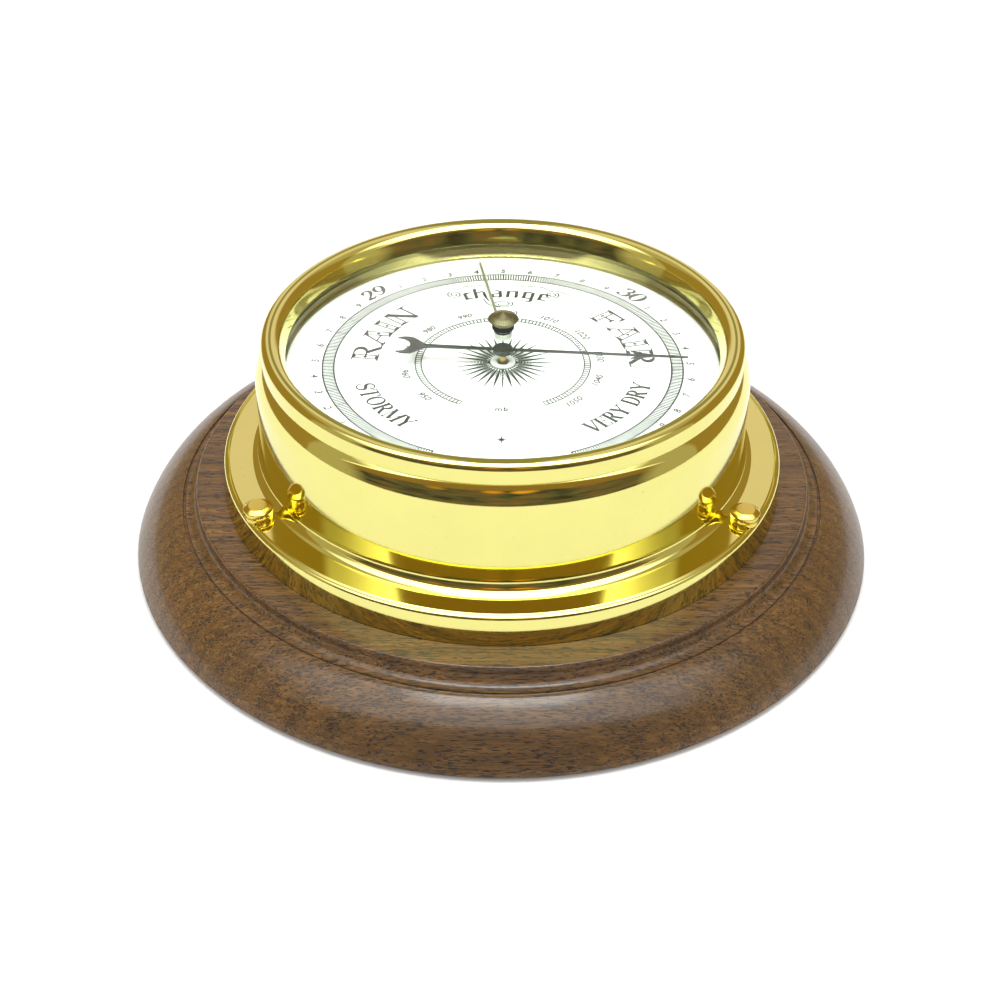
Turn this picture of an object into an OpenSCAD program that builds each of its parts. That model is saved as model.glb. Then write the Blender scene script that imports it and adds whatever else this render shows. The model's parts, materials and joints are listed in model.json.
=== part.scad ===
// Aneroid barometer: a flanged brass case on a turned oak mount, lying on its back.
// Millimetres. +Z points out of the dial, +Y points to the top of the dial.
// The origin is on the case axis, at the underside of the mount.

/* [Oak mount] */
// Diameter of the oak mount
mount_d = 203.2; // [200:0.1:206]
// Diameter of the raised platform under the case
platform_d = 167.8; // [166:0.1:170]
// Height of the platform above the wall
mount_h = 20.2; // [19.5:0.1:22]
// Height of the bead line round the edge
bead_z = 15.3; // [14.5:0.1:15.8]

/* [Brass case] */
// Diameter of the mounting flange
flange_d = 152.4; // [150:0.1:156]
// Height of the flange rim
flange_h = 8.4; // [8:0.1:9]
// Outside diameter of the drum
drum_d = 131; // [130.6:0.1:131.4]
// Wall thickness of the drum
drum_wall = 1.8; // [1.6:0.1:2]
// Radius of the circle of flange screws
flange_screw_r = 72; // [71:0.1:72]
// Diameter of a flange screw's head
flange_head_d = 7.8; // [7:0.1:8]

/* [Bezel and glass] */
// Outside diameter of the bezel
bezel_d = 126.6; // [126.2:0.1:127]
// Diameter of the opening that shows the dial
opening_d = 114.1; // [113.9:0.1:114.5]
// Rise of the domed glass from the opening's edge to its middle
glass_rise = 5.3; // [5:0.1:5.6]
// Thickness of the glass
glass_t = 2; // [1.8:0.1:2]

/* [Dial and hands] */
// Diameter of the dial plate
dial_d = 122; // [121:0.1:122.2]
// Thickness of the dial plate
dial_t = 0.8; // [0.6:0.1:0.8]
// Length of the pointer from its arbor to its tip
pointer_len = 48.6; // [44:0.1:50]
// Clockwise angle of the pointer from the top of the dial
pointer_angle = 94; // [-157:1:157]
// Length of the set hand from the spindle to its tip
set_hand_len = 44.6; // [40:0.1:45]
// Clockwise angle of the set hand from the top of the dial
set_hand_angle = -8.6; // [-180:0.1:180]
// Diameter of the set knob's cap
knob_d = 7.9; // [7:0.1:9]

/* [Movement] */
// Diameter of the aneroid capsule
capsule_d = 48; // [46:1:48]
// Height of the capsule between its two end faces
capsule_h = 7.2; // [7:0.1:7.4]
// Length of the rocking shaft's chain arm
chain_arm_len = 16; // [15.5:0.1:16]
// Length of the rocking shaft's short arm
short_arm_len = 3.5; // [3:0.1:4]
// Radius at which the chain winds on its drum
chain_r = 1.4; // [1.3:0.1:1.5]
// Radial clearance of every pivot
pivot_gap = 0.05; // [0.02:0.01:0.08]

/* [Hidden] */
$fn = 128;
eps = 0.01;

// Radii of the outside shapes
mount_r = mount_d / 2;
platform_r = platform_d / 2;
flange_r = flange_d / 2;
drum_r = drum_d / 2;
drum_bore_r = drum_r - drum_wall;
bezel_r = bezel_d / 2;
opening_r = opening_d / 2;
dial_r = dial_d / 2;

// Heights of the case, from the mount upwards
case_z = mount_h;
flange_top_z = case_z + flange_h;
rebate_z = case_z + 1.6;
shoulder_r = 10;
rim_z = case_z + 38.1;
shoulder_z = rim_z - 7.1;
ledge_z = rim_z - 6.9;
dial_z = ledge_z + dial_t;
mouth_r = dial_r + 0.3;
rebate_r = 69.2;
back_screw_r = 66.8;

// Flange screws: two at the front and one at the back
flange_screw_angles = [90, 210, 330];
flange_hole_r = 1.9;
flange_shank_r = 1.75;
flange_screw_depth = 9;
flange_head_h = 3.5;
back_screw_angles = [30, 150, 270];

// Bezel, ring and glass stack
bezel_z = rim_z + 0.2;
skirt_r = mouth_r - 0.1;
glass_r = skirt_r - 1.5;
crest_h = 5.6;
outer_roll_r = 2.1;
inner_roll_r = 3.5;
glass_top_z = bezel_z + glass_rise;
glass_under_z = glass_top_z - glass_t;
glass_sphere_r = (opening_r * opening_r + glass_rise * glass_rise) / (2 * glass_rise);
glass_centre_z = glass_top_z - glass_sphere_r;
gasket_top_z = glass_centre_z + sqrt(pow(glass_sphere_r - glass_t, 2) - pow(glass_r, 2));
ring_top_z = gasket_top_z - 0.8;

// Set knob and hand
spindle_r = 1.5;
knob_r = knob_d / 2;
washer_z = glass_top_z + 0.05;
washer_h = 1.4;
knob_z = washer_z + washer_h;
set_hub_z = glass_under_z - 1.6;
set_hand_drop = 3.1;

// Pointer and arbor
arbor_r = 0.88;
pointer_z = dial_z + 3.8;
pointer_t = 0.35;
hub_top_z = dial_z + 4.5;
hub_r = 2.7;

// Movement levels
back_plate_t = 1.2;
base_z = rebate_z;
base_t = 2;
floor_z = base_z + base_t;
base_r = 44;
capsule_r = capsule_d / 2;
capsule_z = floor_z + 1.2;
capsule_mid_z = capsule_z + capsule_h / 2;
capsule_top_z = capsule_z + capsule_h;
shell_t = 0.3;
post_r = 1.6;
spring_z = 37;
spring_t = 0.8;
spring_top_z = spring_z + spring_t;
post_top_z = spring_top_z + 2.1;
lever_t = 1;
lever_y = 6;
bridge_x = 30;
bridge_h = 2.5;
arbor_plate_z = 41.2;
arbor_plate_t = 1.2;
chain_z = 45;
cock_z = 48.4;
cock_t = 1.2;
cock_y = 8.5;
pillar_x = 18;
pillar_y = 28;

// Rocking shaft
shaft_x = -28;
shaft_z = chain_z - chain_arm_len;
shaft_r = 1.1;
shaft_pivot_r = 0.4;
post_a_y = -11;
post_b_y = 13;
post_t = 3;
link_x = shaft_x - short_arm_len;
link_y = 7.9;
link_t = 0.6;
link_pin_r = 0.4;
link_eye_r = 1;

// A ring standing on z = 0
module ring(outer_r, inner_r, h) {
    difference() {
        cylinder(r = outer_r, h = h);
        translate([0, 0, -1]) cylinder(r = inner_r, h = h + 2);
    }
}

// Copies of the children at the given angles, out along a radius
module at_angles(angles, r) {
    for (a = angles) rotate(a) translate([r, 0, 0]) children();
}

// A bar with round ends from one point to another, standing on z = 0
module round_bar(from, to, width, h) {
    run = to - from;
    translate([from.x, from.y, 0]) cylinder(d = width, h = h, $fn = 32);
    translate([to.x, to.y, 0]) cylinder(d = width, h = h, $fn = 32);
    translate([from.x, from.y, 0]) rotate(atan2(run.y, run.x))
        translate([0, -width / 2, 0]) cube([norm(run), width, h]);
}

// A cheese-head screw with its head's underside on z = 0 and its shank below
module cheese_screw(head_r, head_h, shank_r, shank_len) {
    difference() {
        cylinder(r = head_r, h = head_h, $fn = 48);
        translate([-head_r - 1, -head_r * 0.14, head_h * 0.5])
            cube([2 * head_r + 2, head_r * 0.28, head_h]);
    }
    translate([0, 0, -shank_len]) cylinder(r = shank_r, h = shank_len + eps, $fn = 32);
}

// A countersunk screw with its flat face on z = 0, pointing up
module countersunk_screw(head_r, head_h, shank_r, length) {
    difference() {
        union() {
            cylinder(r1 = head_r, r2 = shank_r, h = head_h, $fn = 48);
            cylinder(r = shank_r, h = length, $fn = 32);
        }
        translate([-head_r - 1, -0.35, -1]) cube([2 * head_r + 2, 0.7, 1.5]);
    }
}

// Keyhole shape: a round hole with a slot that leads towards +Y
module keyhole(hole_r, slot_w, slot_len) {
    circle(r = hole_r);
    translate([-slot_w / 2, 0]) square([slot_w, slot_len]);
    translate([0, slot_len]) circle(d = slot_w, $fn = 32);
}

/* Oak mount */

hanger_y = 79.5;
hanger_hole_y = 77;
hanger_hole_r = 4.5;
hanger_t = 1.5;
hanger_screw_x = 14;
pocket_gap = 0.2;
access_r = 5;
edge_arc_r = 25;

// Turned outline of the mount, with its rounded edge, bead groove, cove and platform
module mount_outline() {
    foot_r = mount_r - 1.2;
    edge_low = [mount_r, 1.6];
    edge_top = [platform_r + 4.5, bead_z];
    chord = edge_top - edge_low;
    half = norm(chord) / 2;
    normal = [-chord.y, chord.x] / norm(chord);
    centre = (edge_low + edge_top) / 2 + normal * sqrt(edge_arc_r * edge_arc_r - half * half);
    cove_r = 3;
    polygon([
        [0, 0], [foot_r, 0], edge_low, edge_top, [platform_r + 4.1, bead_z + 0.1],
        [platform_r + 3.7, bead_z - 0.7], [platform_r + 3.2, bead_z],
        [platform_r, bead_z], [platform_r, mount_h - 0.7],
        [platform_r - 0.7, mount_h], [0, mount_h]]);
    intersection() {
        translate(centre) circle(r = edge_arc_r, $fn = 360);
        polygon([edge_low, edge_low + [8, 8], edge_top + [8, 8], edge_top]);
    }
    difference() {
        translate([platform_r - eps, bead_z]) square([cove_r + eps, cove_r]);
        translate([platform_r + cove_r, bead_z + cove_r]) circle(r = cove_r);
    }
    intersection() {
        translate([platform_r - 0.7, mount_h - 0.7]) circle(r = 0.7, $fn = 48);
        translate([platform_r - 0.7, mount_h - 0.7]) square(1);
    }
}

module wooden_base() color("saddlebrown") difference() {
    rotate_extrude($fn = 256) mount_outline();
    // Pilot holes of the flange screws
    at_angles(flange_screw_angles, flange_screw_r)
        translate([0, 0, mount_h - flange_screw_depth - 0.5])
        cylinder(r = flange_shank_r + 0.05, h = flange_screw_depth + 2, $fn = 32);
    // Way through to the calibration screw
    translate([bridge_x, 0, -1]) cylinder(r = access_r, h = mount_h + 2);
    // Recess for the hanger plate, and room behind it for a nail's head
    translate([0, 0, -1]) linear_extrude(hanger_t + pocket_gap + 1) hanger_outline(7.7);
    translate([0, hanger_hole_y, -1]) linear_extrude(8.5) keyhole(5.2, 10.4, 6);
    for (side = [-1, 1]) translate([side * hanger_screw_x, hanger_y, -1])
        cylinder(r = 1.45, h = 10, $fn = 32);
}

module hanger_outline(end_r) {
    for (side = [-1, 1]) translate([side * 13, hanger_y]) circle(r = end_r, $fn = 64);
    translate([-13, hanger_y - end_r]) square([26, 2 * end_r]);
}

module hanger_plate() color("goldenrod") difference() {
    translate([0, 0, pocket_gap]) linear_extrude(hanger_t) hanger_outline(7.5);
    translate([0, hanger_hole_y, -1]) linear_extrude(4) keyhole(hanger_hole_r, 4.6, 6);
    for (side = [-1, 1]) translate([side * hanger_screw_x, hanger_y, pocket_gap]) {
        translate([0, 0, -eps]) cylinder(r1 = 3, r2 = 1.5, h = hanger_t + 2 * eps, $fn = 48);
    }
}

module hanger_screws() color("goldenrod")
for (side = [-1, 1]) translate([side * hanger_screw_x, hanger_y, pocket_gap])
    countersunk_screw(2.9, hanger_t, 1.4, 8.6);

/* Brass case */

// Turned outline of the flange, with its tapered rim, round edge, fine line, fillet and rebate
module flange_outline() {
    edge_r = 1.2;
    taper = 4;
    fillet_r = 3.6;
    fillet_z = flange_top_z + 3.4;
    edge_z = flange_top_z - edge_r;
    edge_x = flange_r - (edge_r + (edge_z - case_z) * sin(taper)) / cos(taper);
    difference() {
        polygon([
            [drum_r, case_z], [flange_r, case_z], [flange_r - flange_h * tan(taper), flange_top_z],
            [drum_r, flange_top_z]]);
        difference() {
            polygon([
                [edge_x, edge_z], [edge_x + 5, edge_z + 5 * tan(taper)], [edge_x + 5, edge_z + 5],
                [edge_x, edge_z + 5]]);
            translate([edge_x, edge_z]) circle(r = edge_r);
        }
        translate([0, case_z - 1]) square([rebate_r, rebate_z - case_z + 1]);
        translate([edge_x - 0.1, flange_top_z]) rotate(45) square(0.5, center = true);
    }
    difference() {
        translate([drum_r, flange_top_z - eps]) square([fillet_r - 1, fillet_z - flange_top_z + eps]);
        translate([drum_r + fillet_r, fillet_z]) circle(r = fillet_r);
    }
}

// Heavy ring soldered round the foot of the drum
module mounting_flange() color("gold") difference() {
    rotate_extrude($fn = 256) flange_outline();
    at_angles(flange_screw_angles, flange_screw_r)
        translate([0, 0, case_z - 1]) cylinder(r = flange_hole_r, h = flange_h + 2, $fn = 48);
    at_angles(back_screw_angles, back_screw_r)
        translate([0, 0, rebate_z - 1]) cylinder(r = 1, h = 5, $fn = 32);
}

// Turned outline of the drum, with its rounded shoulder, dial ledge and mouth
module case_outline() {
    translate([drum_bore_r, rebate_z]) square([drum_wall, shoulder_z - rebate_z]);
    intersection() {
        translate([drum_r - shoulder_r, shoulder_z]) circle(r = shoulder_r);
        translate([mouth_r, shoulder_z]) square([5, rim_z - shoulder_z]);
    }
    translate([mouth_r, ledge_z - 1.8]) square([drum_r - mouth_r, shoulder_z - ledge_z + 1.8]);
    translate([59.5, ledge_z - 1.8]) square([mouth_r - 59.5 + eps, 1.8]);
}

module brass_case() color("gold") rotate_extrude($fn = 256) case_outline();

// Round head of a flange screw: a bevelled cap over a narrower collar, and its shank in the oak
module flange_screws() color("gold")
at_angles(flange_screw_angles, flange_screw_r) translate([0, 0, flange_top_z]) {
    head_r = flange_head_d / 2;
    collar_h = 1.1;
    bevel = 0.9;
    rotate_extrude($fn = 64) polygon([
        [0, 0], [head_r - 0.2, 0], [head_r - 0.2, collar_h - 0.1], [head_r - 0.5, collar_h],
        [head_r - 0.5, collar_h + 0.2], [head_r - 0.1, collar_h + 0.3], [head_r, collar_h + 0.5],
        [head_r, flange_head_h - bevel], [head_r - bevel, flange_head_h], [0, flange_head_h]]);
    translate([0, 0, -flange_h - flange_screw_depth])
        cylinder(r = flange_shank_r, h = flange_h + flange_screw_depth + 1, $fn = 32);
}

module back_plate() color("silver") difference() {
    translate([0, 0, base_z - back_plate_t]) cylinder(r = rebate_r - 0.2, h = back_plate_t);
    at_angles(back_screw_angles, back_screw_r) translate([0, 0, base_z - back_plate_t - eps])
        cylinder(r1 = 2.1, r2 = 1, h = back_plate_t + 2 * eps, $fn = 48);
    at_angles(movement_screw_angles, movement_screw_r) translate([0, 0, base_z - back_plate_t - eps])
        cylinder(r1 = 2.3, r2 = 1.1, h = back_plate_t + 2 * eps, $fn = 48);
    translate([bridge_x, 0, 0]) cylinder(r = 4, h = 50);
    for (side = [-1, 1]) translate([bridge_x, side * bridge_foot_y, 0]) cylinder(r = 3.2, h = 50);
    // Breather hole that lets the air's pressure in
    translate([-52, 0, 0]) cylinder(r = 1.5, h = 50, $fn = 32);
}

module back_plate_screws() color("silver")
at_angles(back_screw_angles, back_screw_r) translate([0, 0, base_z - back_plate_t])
    countersunk_screw(2, back_plate_t, 0.9, 4.6);

/* Bezel, glass and dial */

// Rolled bezel: a tight roll outside, a slower one inside that runs into a steep wall down to
// the glass, and a skirt in the case's mouth
module bezel_outline() {
    crest = [bezel_r - outer_roll_r + 0.07, bezel_z + crest_h];
    wall_tilt = 71.6;
    wall_top = crest - [inner_roll_r * sin(wall_tilt), inner_roll_r * (1 - cos(wall_tilt)) + 0.06];
    lip_z = bezel_z + 0.1;
    difference() {
        polygon([
            [opening_r, lip_z], wall_top, [wall_top.x, crest.y + 1], [bezel_r, crest.y + 1],
            [bezel_r, bezel_z + 0.3], [bezel_r - 0.3, bezel_z], [skirt_r, bezel_z],
            [skirt_r, ledge_z + 3], [skirt_r - 1.3, ledge_z + 3], [skirt_r - 1.3, lip_z]]);
        difference() {
            translate([crest.x, crest.y - outer_roll_r]) square([5, 5]);
            translate([crest.x, crest.y - outer_roll_r]) circle(r = outer_roll_r);
        }
        difference() {
            translate([crest.x - 5, wall_top.y - 0.15]) square([5, 5]);
            translate([crest.x, crest.y - inner_roll_r]) circle(r = inner_roll_r);
        }
    }
}

module bezel_ring() color("gold") rotate_extrude($fn = 256) bezel_outline();

module front_glass() color("lightcyan", 0.35) difference() {
    rotate_extrude($fn = 256) intersection() {
        difference() {
            translate([0, glass_centre_z]) circle(r = glass_sphere_r, $fn = 1440);
            translate([0, glass_centre_z]) circle(r = glass_sphere_r - glass_t, $fn = 1440);
        }
        translate([0, glass_centre_z + 200]) square([glass_r, 200]);
    }
    cylinder(r = spindle_r + pivot_gap, h = 100, $fn = 48);
}

module glass_gasket() color("dimgray")
translate([0, 0, ring_top_z]) ring(glass_r, glass_r - 1.5, gasket_top_z - ring_top_z);

// Reflector ring between dial and glass, with a small bead at its foot
module dial_ring() color("dimgray") rotate_extrude($fn = 256) {
    ring_r = opening_r + 0.65;
    difference() {
        translate([ring_r, dial_z]) square([glass_r - ring_r, ring_top_z - dial_z]);
        translate([ring_r, dial_z + 1.4]) rotate(45) square(0.3, center = true);
    }
    translate([ring_r, dial_z + 0.5]) circle(r = 0.5, $fn = 32);
}

module dial_plate() color("white") translate([0, 0, ledge_z]) ring(dial_r, 1.6, dial_t);

module dial_washer() color("white") translate([0, 0, dial_z]) ring(3.3, 1.7, 0.4);

/* Set hand */

// Plain grip under a pointed cap with a knurled bevel
module set_knob() color("darkkhaki") difference() {
    grip_r = 3;
    bevel_r = 3;
    rim_z = knob_z + 0.9;
    bevel_z = rim_z + 0.5;
    cone_z = bevel_z + 0.8;
    tip_z = cone_z + 1.1;
    bevel_tilt = atan2(knob_r - bevel_r, cone_z - bevel_z);
    knurls = 40;
    rotate_extrude() polygon([
        [0, knob_z], [grip_r, knob_z], [grip_r, rim_z], [knob_r - 0.15, rim_z], [knob_r, rim_z + 0.15],
        [knob_r, bevel_z], [bevel_r, cone_z], [0.3, tip_z], [0, tip_z + 0.05]]);
    for (i = [0:knurls - 1]) rotate(i * 360 / knurls)
        translate([(knob_r + bevel_r) / 2 + 0.04, 0, (bevel_z + cone_z) / 2 + 0.04]) rotate([0, -bevel_tilt, 0])
            cylinder(r = 0.16, h = 2.4, center = true, $fn = 16);
    translate([0, 0, knob_z - 1]) cylinder(r = spindle_r, h = 1.9, $fn = 48);
}

module set_spindle() color("darkkhaki") {
    translate([0, 0, set_hub_z - 0.4]) cylinder(r = spindle_r, h = knob_z + 0.9 - set_hub_z + 0.4, $fn = 48);
}

module knob_washer() color("black") translate([0, 0, washer_z]) ring(2.9, spindle_r, washer_h);

// Crinkled washer that presses on the glass and holds the hand where it is put
module set_spring_washer() color("silver")
translate([0, 0, set_hub_z + 1]) ring(2.4, spindle_r, 0.5);

// Hub and thin arm that slopes down under the domed glass
module set_hand() color("darkkhaki") rotate(-set_hand_angle) {
    arm_w = 0.8;
    arm_t = 0.35;
    slope = atan(set_hand_drop / set_hand_len);
    translate([0, 0, set_hub_z]) difference() {
        union() {
            cylinder(r = 2.4, h = 1, $fn = 48);
            translate([0, 0, 0.5]) rotate([-slope, 0, 0]) translate([-arm_w / 2, 1, -arm_t / 2])
                cube([arm_w, set_hand_len - 1.4, arm_t]);
            translate([0, 0, 0.5]) rotate([-slope, 0, 0]) translate([0, set_hand_len - 0.4, -arm_t / 2])
                cylinder(d = arm_w, h = arm_t, $fn = 24);
        }
        translate([0, 0, -1]) cylinder(r = spindle_r, h = 4, $fn = 48);
    }
}

/* Pointer */

// Flat blued pointer: a tapering blade with a barbed spearhead, and a crescent moon behind
module pointer_outline() {
    moon_y = -25.7;
    moon_r = 4.1;
    barb_y = pointer_len * 0.69;
    polygon([
        [0.55, 0], [0.42, barb_y + 1.6], [2, barb_y], [1.15, barb_y + 2.6], [0.45, barb_y + 6],
        [0.3, pointer_len], [-0.3, pointer_len], [-0.45, barb_y + 6], [-1.15, barb_y + 2.6],
        [-2, barb_y], [-0.42, barb_y + 1.6], [-0.55, 0]]);
    polygon([[0.55, 0.1], [0.75, moon_y + 5.4], [2.3, moon_y + 3.4], [-2.3, moon_y + 3.4],
        [-0.75, moon_y + 5.4], [-0.55, 0.1]]);
    difference() {
        translate([0, moon_y]) circle(r = moon_r);
        translate([0, moon_y - 2.2]) circle(r = moon_r - 0.8);
    }
}

module pointer() color("darkslategray") rotate(-pointer_angle) difference() {
    union() {
        translate([0, 0, pointer_z]) linear_extrude(pointer_t) pointer_outline();
        translate([0, 0, pointer_z - 0.4]) rotate_extrude($fn = 64) {
            square([hub_r - 0.3, hub_top_z - pointer_z + 0.4]);
            square([hub_r, hub_top_z - pointer_z + 0.1]);
            translate([hub_r - 0.3, hub_top_z - pointer_z + 0.1]) circle(r = 0.3, $fn = 24);
        }
    }
    translate([0, 0, pointer_z - 1]) cylinder(r = arbor_r, h = 1.6, $fn = 32);
}

module pointer_arbor() color("goldenrod") {
    translate([0, 0, arbor_plate_z - 0.2]) cylinder(r = 0.5, h = arbor_plate_t + 0.6, $fn = 32);
    translate([0, 0, arbor_plate_z + arbor_plate_t + 0.2])
        cylinder(r = arbor_r, h = pointer_z + 0.6 - arbor_plate_z - arbor_plate_t - 0.2, $fn = 32);
}

// Drum between two flanges, with the hairspring's collet above
module chain_drum() color("goldenrod") translate([0, 0, chain_z]) difference() {
    union() {
        translate([0, 0, -1.2]) cylinder(r = 1.9, h = 0.4, $fn = 48);
        translate([0, 0, -1.2]) cylinder(r = chain_r - 0.3, h = 2.8, $fn = 48);
        translate([0, 0, 0.8]) cylinder(r = 1.9, h = 0.4, $fn = 48);
        translate([0, 0, 1.6]) cylinder(r = 1.5, h = 1.2, $fn = 48);
    }
    translate([0, 0, -3]) cylinder(r = arbor_r, h = 7, $fn = 32);
}

// Fine chain: flat links in alternating pairs, from the chain arm to the drum
module drive_chain() color("silver") {
    pitch = 1.3;
    chain_len = -shaft_x - 1;
    link_count = floor(chain_len / pitch);
    translate([-chain_len, -chain_r, chain_z]) rotate([90, 0, 0]) for (i = [0:link_count - 1])
        translate([i * pitch, 0, i % 2 == 0 ? -0.25 : 0])
        round_bar([0.35, 0], [pitch + 0.2, 0], 0.7, 0.25);
}

// Points of a spiral round the axis, from one radius to another
function spiral(inner, outer, turns, steps) = [for (i = [0:steps])
    (inner + (outer - inner) * i / steps) * [cos(360 * turns * i / steps), sin(360 * turns * i / steps)]];

// Flat spiral from the collet out to its stud
module hairspring() color("steelblue") {
    turns = 5;
    steps = turns * 20;
    width = 0.16;
    outside = spiral(1.6 + width, 6.2 + width, turns, steps);
    inside = spiral(1.6, 6.2, turns, steps);
    translate([0, 0, chain_z + 1.9]) linear_extrude(0.6)
        polygon(concat(outside, [for (i = [steps:-1:0]) inside[i]]));
}

module hairspring_stud() color("goldenrod")
translate([7, 0, arbor_plate_z + arbor_plate_t]) cylinder(r = 0.6, h = chain_z - arbor_plate_z + 1.6, $fn = 24);

/* Frame of the movement */

movement_screw_angles = [45, 165, 285];
movement_screw_r = 40;
bridge_foot_y = 14;

module arbor_plate() color("goldenrod") difference() {
    translate([0, 0, arbor_plate_z]) {
        cylinder(r = 11.5, h = arbor_plate_t);
        for (side = [-1, 1]) round_bar([-pillar_x * side, -pillar_y], [pillar_x * side, pillar_y], 6.5, arbor_plate_t);
    }
    cylinder(r = 0.5 + pivot_gap, h = 100, $fn = 32);
    for (side = [-1, 1]) translate([0, side * cock_y, 0]) cylinder(r = 0.85, h = 100, $fn = 32);
    for (x = [-1, 1], y = [-1, 1]) translate([x * pillar_x, y * pillar_y, 0]) cylinder(r = 1.1, h = 100, $fn = 32);
}

// Four shouldered pillars with a spigot and a round nut at the top
module arbor_pillars() color("goldenrod") for (x = [-1, 1], y = [-1, 1])
translate([x * pillar_x, y * pillar_y, floor_z]) {
    height = arbor_plate_z - floor_z;
    cylinder(r = 2.2, h = height, $fn = 32);
    cylinder(r = 3, h = 1.2, $fn = 32);
    translate([0, 0, height - 1]) cylinder(r = 1.05, h = arbor_plate_t + 1.2, $fn = 32);
    translate([0, 0, height + arbor_plate_t + 0.02]) cylinder(r = 2.2, h = 1.4, $fn = 6);
}

// Upper bearing of the arbor: a bar on two legs
module arbor_cock() color("goldenrod") difference() {
    base = arbor_plate_z + arbor_plate_t;
    union() {
        for (side = [-1, 1]) translate([0, side * cock_y, base]) cylinder(r = 1.9, h = cock_z - base, $fn = 32);
        translate([0, 0, cock_z]) round_bar([0, -cock_y], [0, cock_y], 5, cock_t);
    }
    cylinder(r = arbor_r + pivot_gap, h = 100, $fn = 32);
    for (side = [-1, 1]) translate([0, side * cock_y, 0]) cylinder(r = 0.85, h = 100, $fn = 32);
}

module cock_screws() color("steelblue") for (side = [-1, 1])
translate([0, side * cock_y, cock_z + cock_t]) cheese_screw(1.7, 0.9, 0.8, cock_z + cock_t - arbor_plate_z);

module movement_base_plate() color("goldenrod") difference() {
    translate([0, 0, base_z]) cylinder(r = base_r, h = base_t);
    cylinder(r = 2, h = 100, $fn = 32);
    translate([bridge_x, 0, 0]) cylinder(r = 2 + pivot_gap, h = 100, $fn = 32);
    for (side = [-1, 1]) translate([bridge_x, side * bridge_foot_y, 0]) cylinder(r = 1.55, h = 100, $fn = 32);
    at_angles(movement_screw_angles, movement_screw_r) cylinder(r = 1.05, h = 100, $fn = 32);
}

module movement_screws() color("silver")
at_angles(movement_screw_angles, movement_screw_r) translate([0, 0, base_z - back_plate_t])
    countersunk_screw(2.2, back_plate_t, 1, 3);

/* Aneroid capsule */

module capsule_foot() color("goldenrod") {
    translate([0, 0, base_z]) cylinder(r = 1.95, h = base_t + 1, $fn = 32);
    translate([0, 0, floor_z]) cylinder(r = 4, h = capsule_z - floor_z, $fn = 48);
}

// Half outline of one corrugated shell, rim at z = 0 and flat centre at z = depth
function wave_r(i) = 5 + i * 0.5;
function wave_z(i, depth) = depth - 0.7 + 0.45 * cos(i * 60);
module shell_outline(depth) {
    waves = 30;
    top = concat([[0, depth], [4, depth]], [for (i = [0:waves]) [wave_r(i), wave_z(i, depth)]],
        [[capsule_r - 2, shell_t], [capsule_r, shell_t]]);
    low = [for (p = top) [p.x, max(p.y - shell_t, 0)]];
    polygon(concat(top, [for (i = [len(low) - 1:-1:0]) low[i]]));
}

module capsule_lower_shell() color("silver")
translate([0, 0, capsule_mid_z]) mirror([0, 0, 1]) rotate_extrude() shell_outline(capsule_h / 2);

module capsule_upper_shell() color("silver")
translate([0, 0, capsule_mid_z]) rotate_extrude() shell_outline(capsule_h / 2);

// Moving post with the knife-edge pin that rests on the main spring
module capsule_post() color("silver") {
    translate([0, 0, capsule_top_z]) cylinder(r = 3.5, h = 0.8, $fn = 48);
    translate([0, 0, capsule_top_z]) cylinder(r = post_r, h = post_top_z - capsule_top_z, $fn = 32);
    translate([0, -3.6, spring_top_z + 0.8]) rotate([-90, 0, 0]) cylinder(r = 0.8, h = 7.2, $fn = 24);
}

/* Spring and lever */

module spring_bridge() color("darkgray") difference() {
    union() {
        for (side = [-1, 1]) translate([bridge_x - 4, side * bridge_foot_y - 3.5, floor_z])
            cube([8, 7, spring_z - floor_z]);
        translate([bridge_x - 4, -bridge_foot_y - 3.5, spring_z - bridge_h])
            cube([8, 2 * bridge_foot_y + 7, bridge_h]);
    }
    for (side = [-1, 1]) translate([bridge_x, side * bridge_foot_y, floor_z - 1]) cylinder(r = 1.3, h = 7, $fn = 32);
    for (side = [-1, 1]) translate([bridge_x, side * 4, spring_z - bridge_h - 1]) cylinder(r = 1.05, h = 5, $fn = 32);
}

module bridge_screws() color("silver") for (side = [-1, 1])
translate([bridge_x, side * bridge_foot_y, base_z]) rotate([180, 0, 0]) cheese_screw(2.6, 1.2, 1.25, base_t + 5);

module main_spring() color("steelblue") difference() {
    translate([0, 0, spring_z]) linear_extrude(spring_t)
        polygon([[-9, -5.5], [-9, 8], [6, 8], [12, 7], [bridge_x + 4, 7], [bridge_x + 4, -7], [12, -7], [6, -5.5]]);
    translate([0, 0, spring_z - 1]) cylinder(r = post_r + 0.5, h = 5, $fn = 32);
    for (side = [-1, 1]) translate([bridge_x, side * 4, spring_z - 1]) cylinder(r = 1.1, h = 3, $fn = 32);
    for (y = lever_screw_y) translate([lever_screw_x, y, spring_z - 1]) cylinder(r = 0.85, h = 3, $fn = 32);
}

module spring_screws() color("silver") for (side = [-1, 1])
translate([bridge_x, side * 4, spring_top_z]) cheese_screw(1.9, 1.2, 1, spring_t + bridge_h - 0.2);

lever_screw_x = -6;
lever_screw_y = [-3, 3];

// Foot screwed to the spring's free end, and the long arm
module main_lever() color("goldenrod") difference() {
    translate([0, 0, spring_top_z]) {
        translate([-8.5, -5, 0]) cube([5.5, 12.5, lever_t]);
        round_bar([-6, lever_y], [link_x, lever_y], 2.6, lever_t);
        translate([link_x - 1.3, lever_y - 1.3, 0]) cube([2.6, 2.6, 1.6]);
    }
    for (y = lever_screw_y) translate([lever_screw_x, y, spring_z]) cylinder(r = 0.85, h = 5, $fn = 32);
    translate([link_x, 0, link_pin_z]) rotate([-90, 0, 0]) cylinder(r = link_pin_r, h = 20, $fn = 24);
}

link_pin_z = spring_top_z + 0.8;

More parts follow.
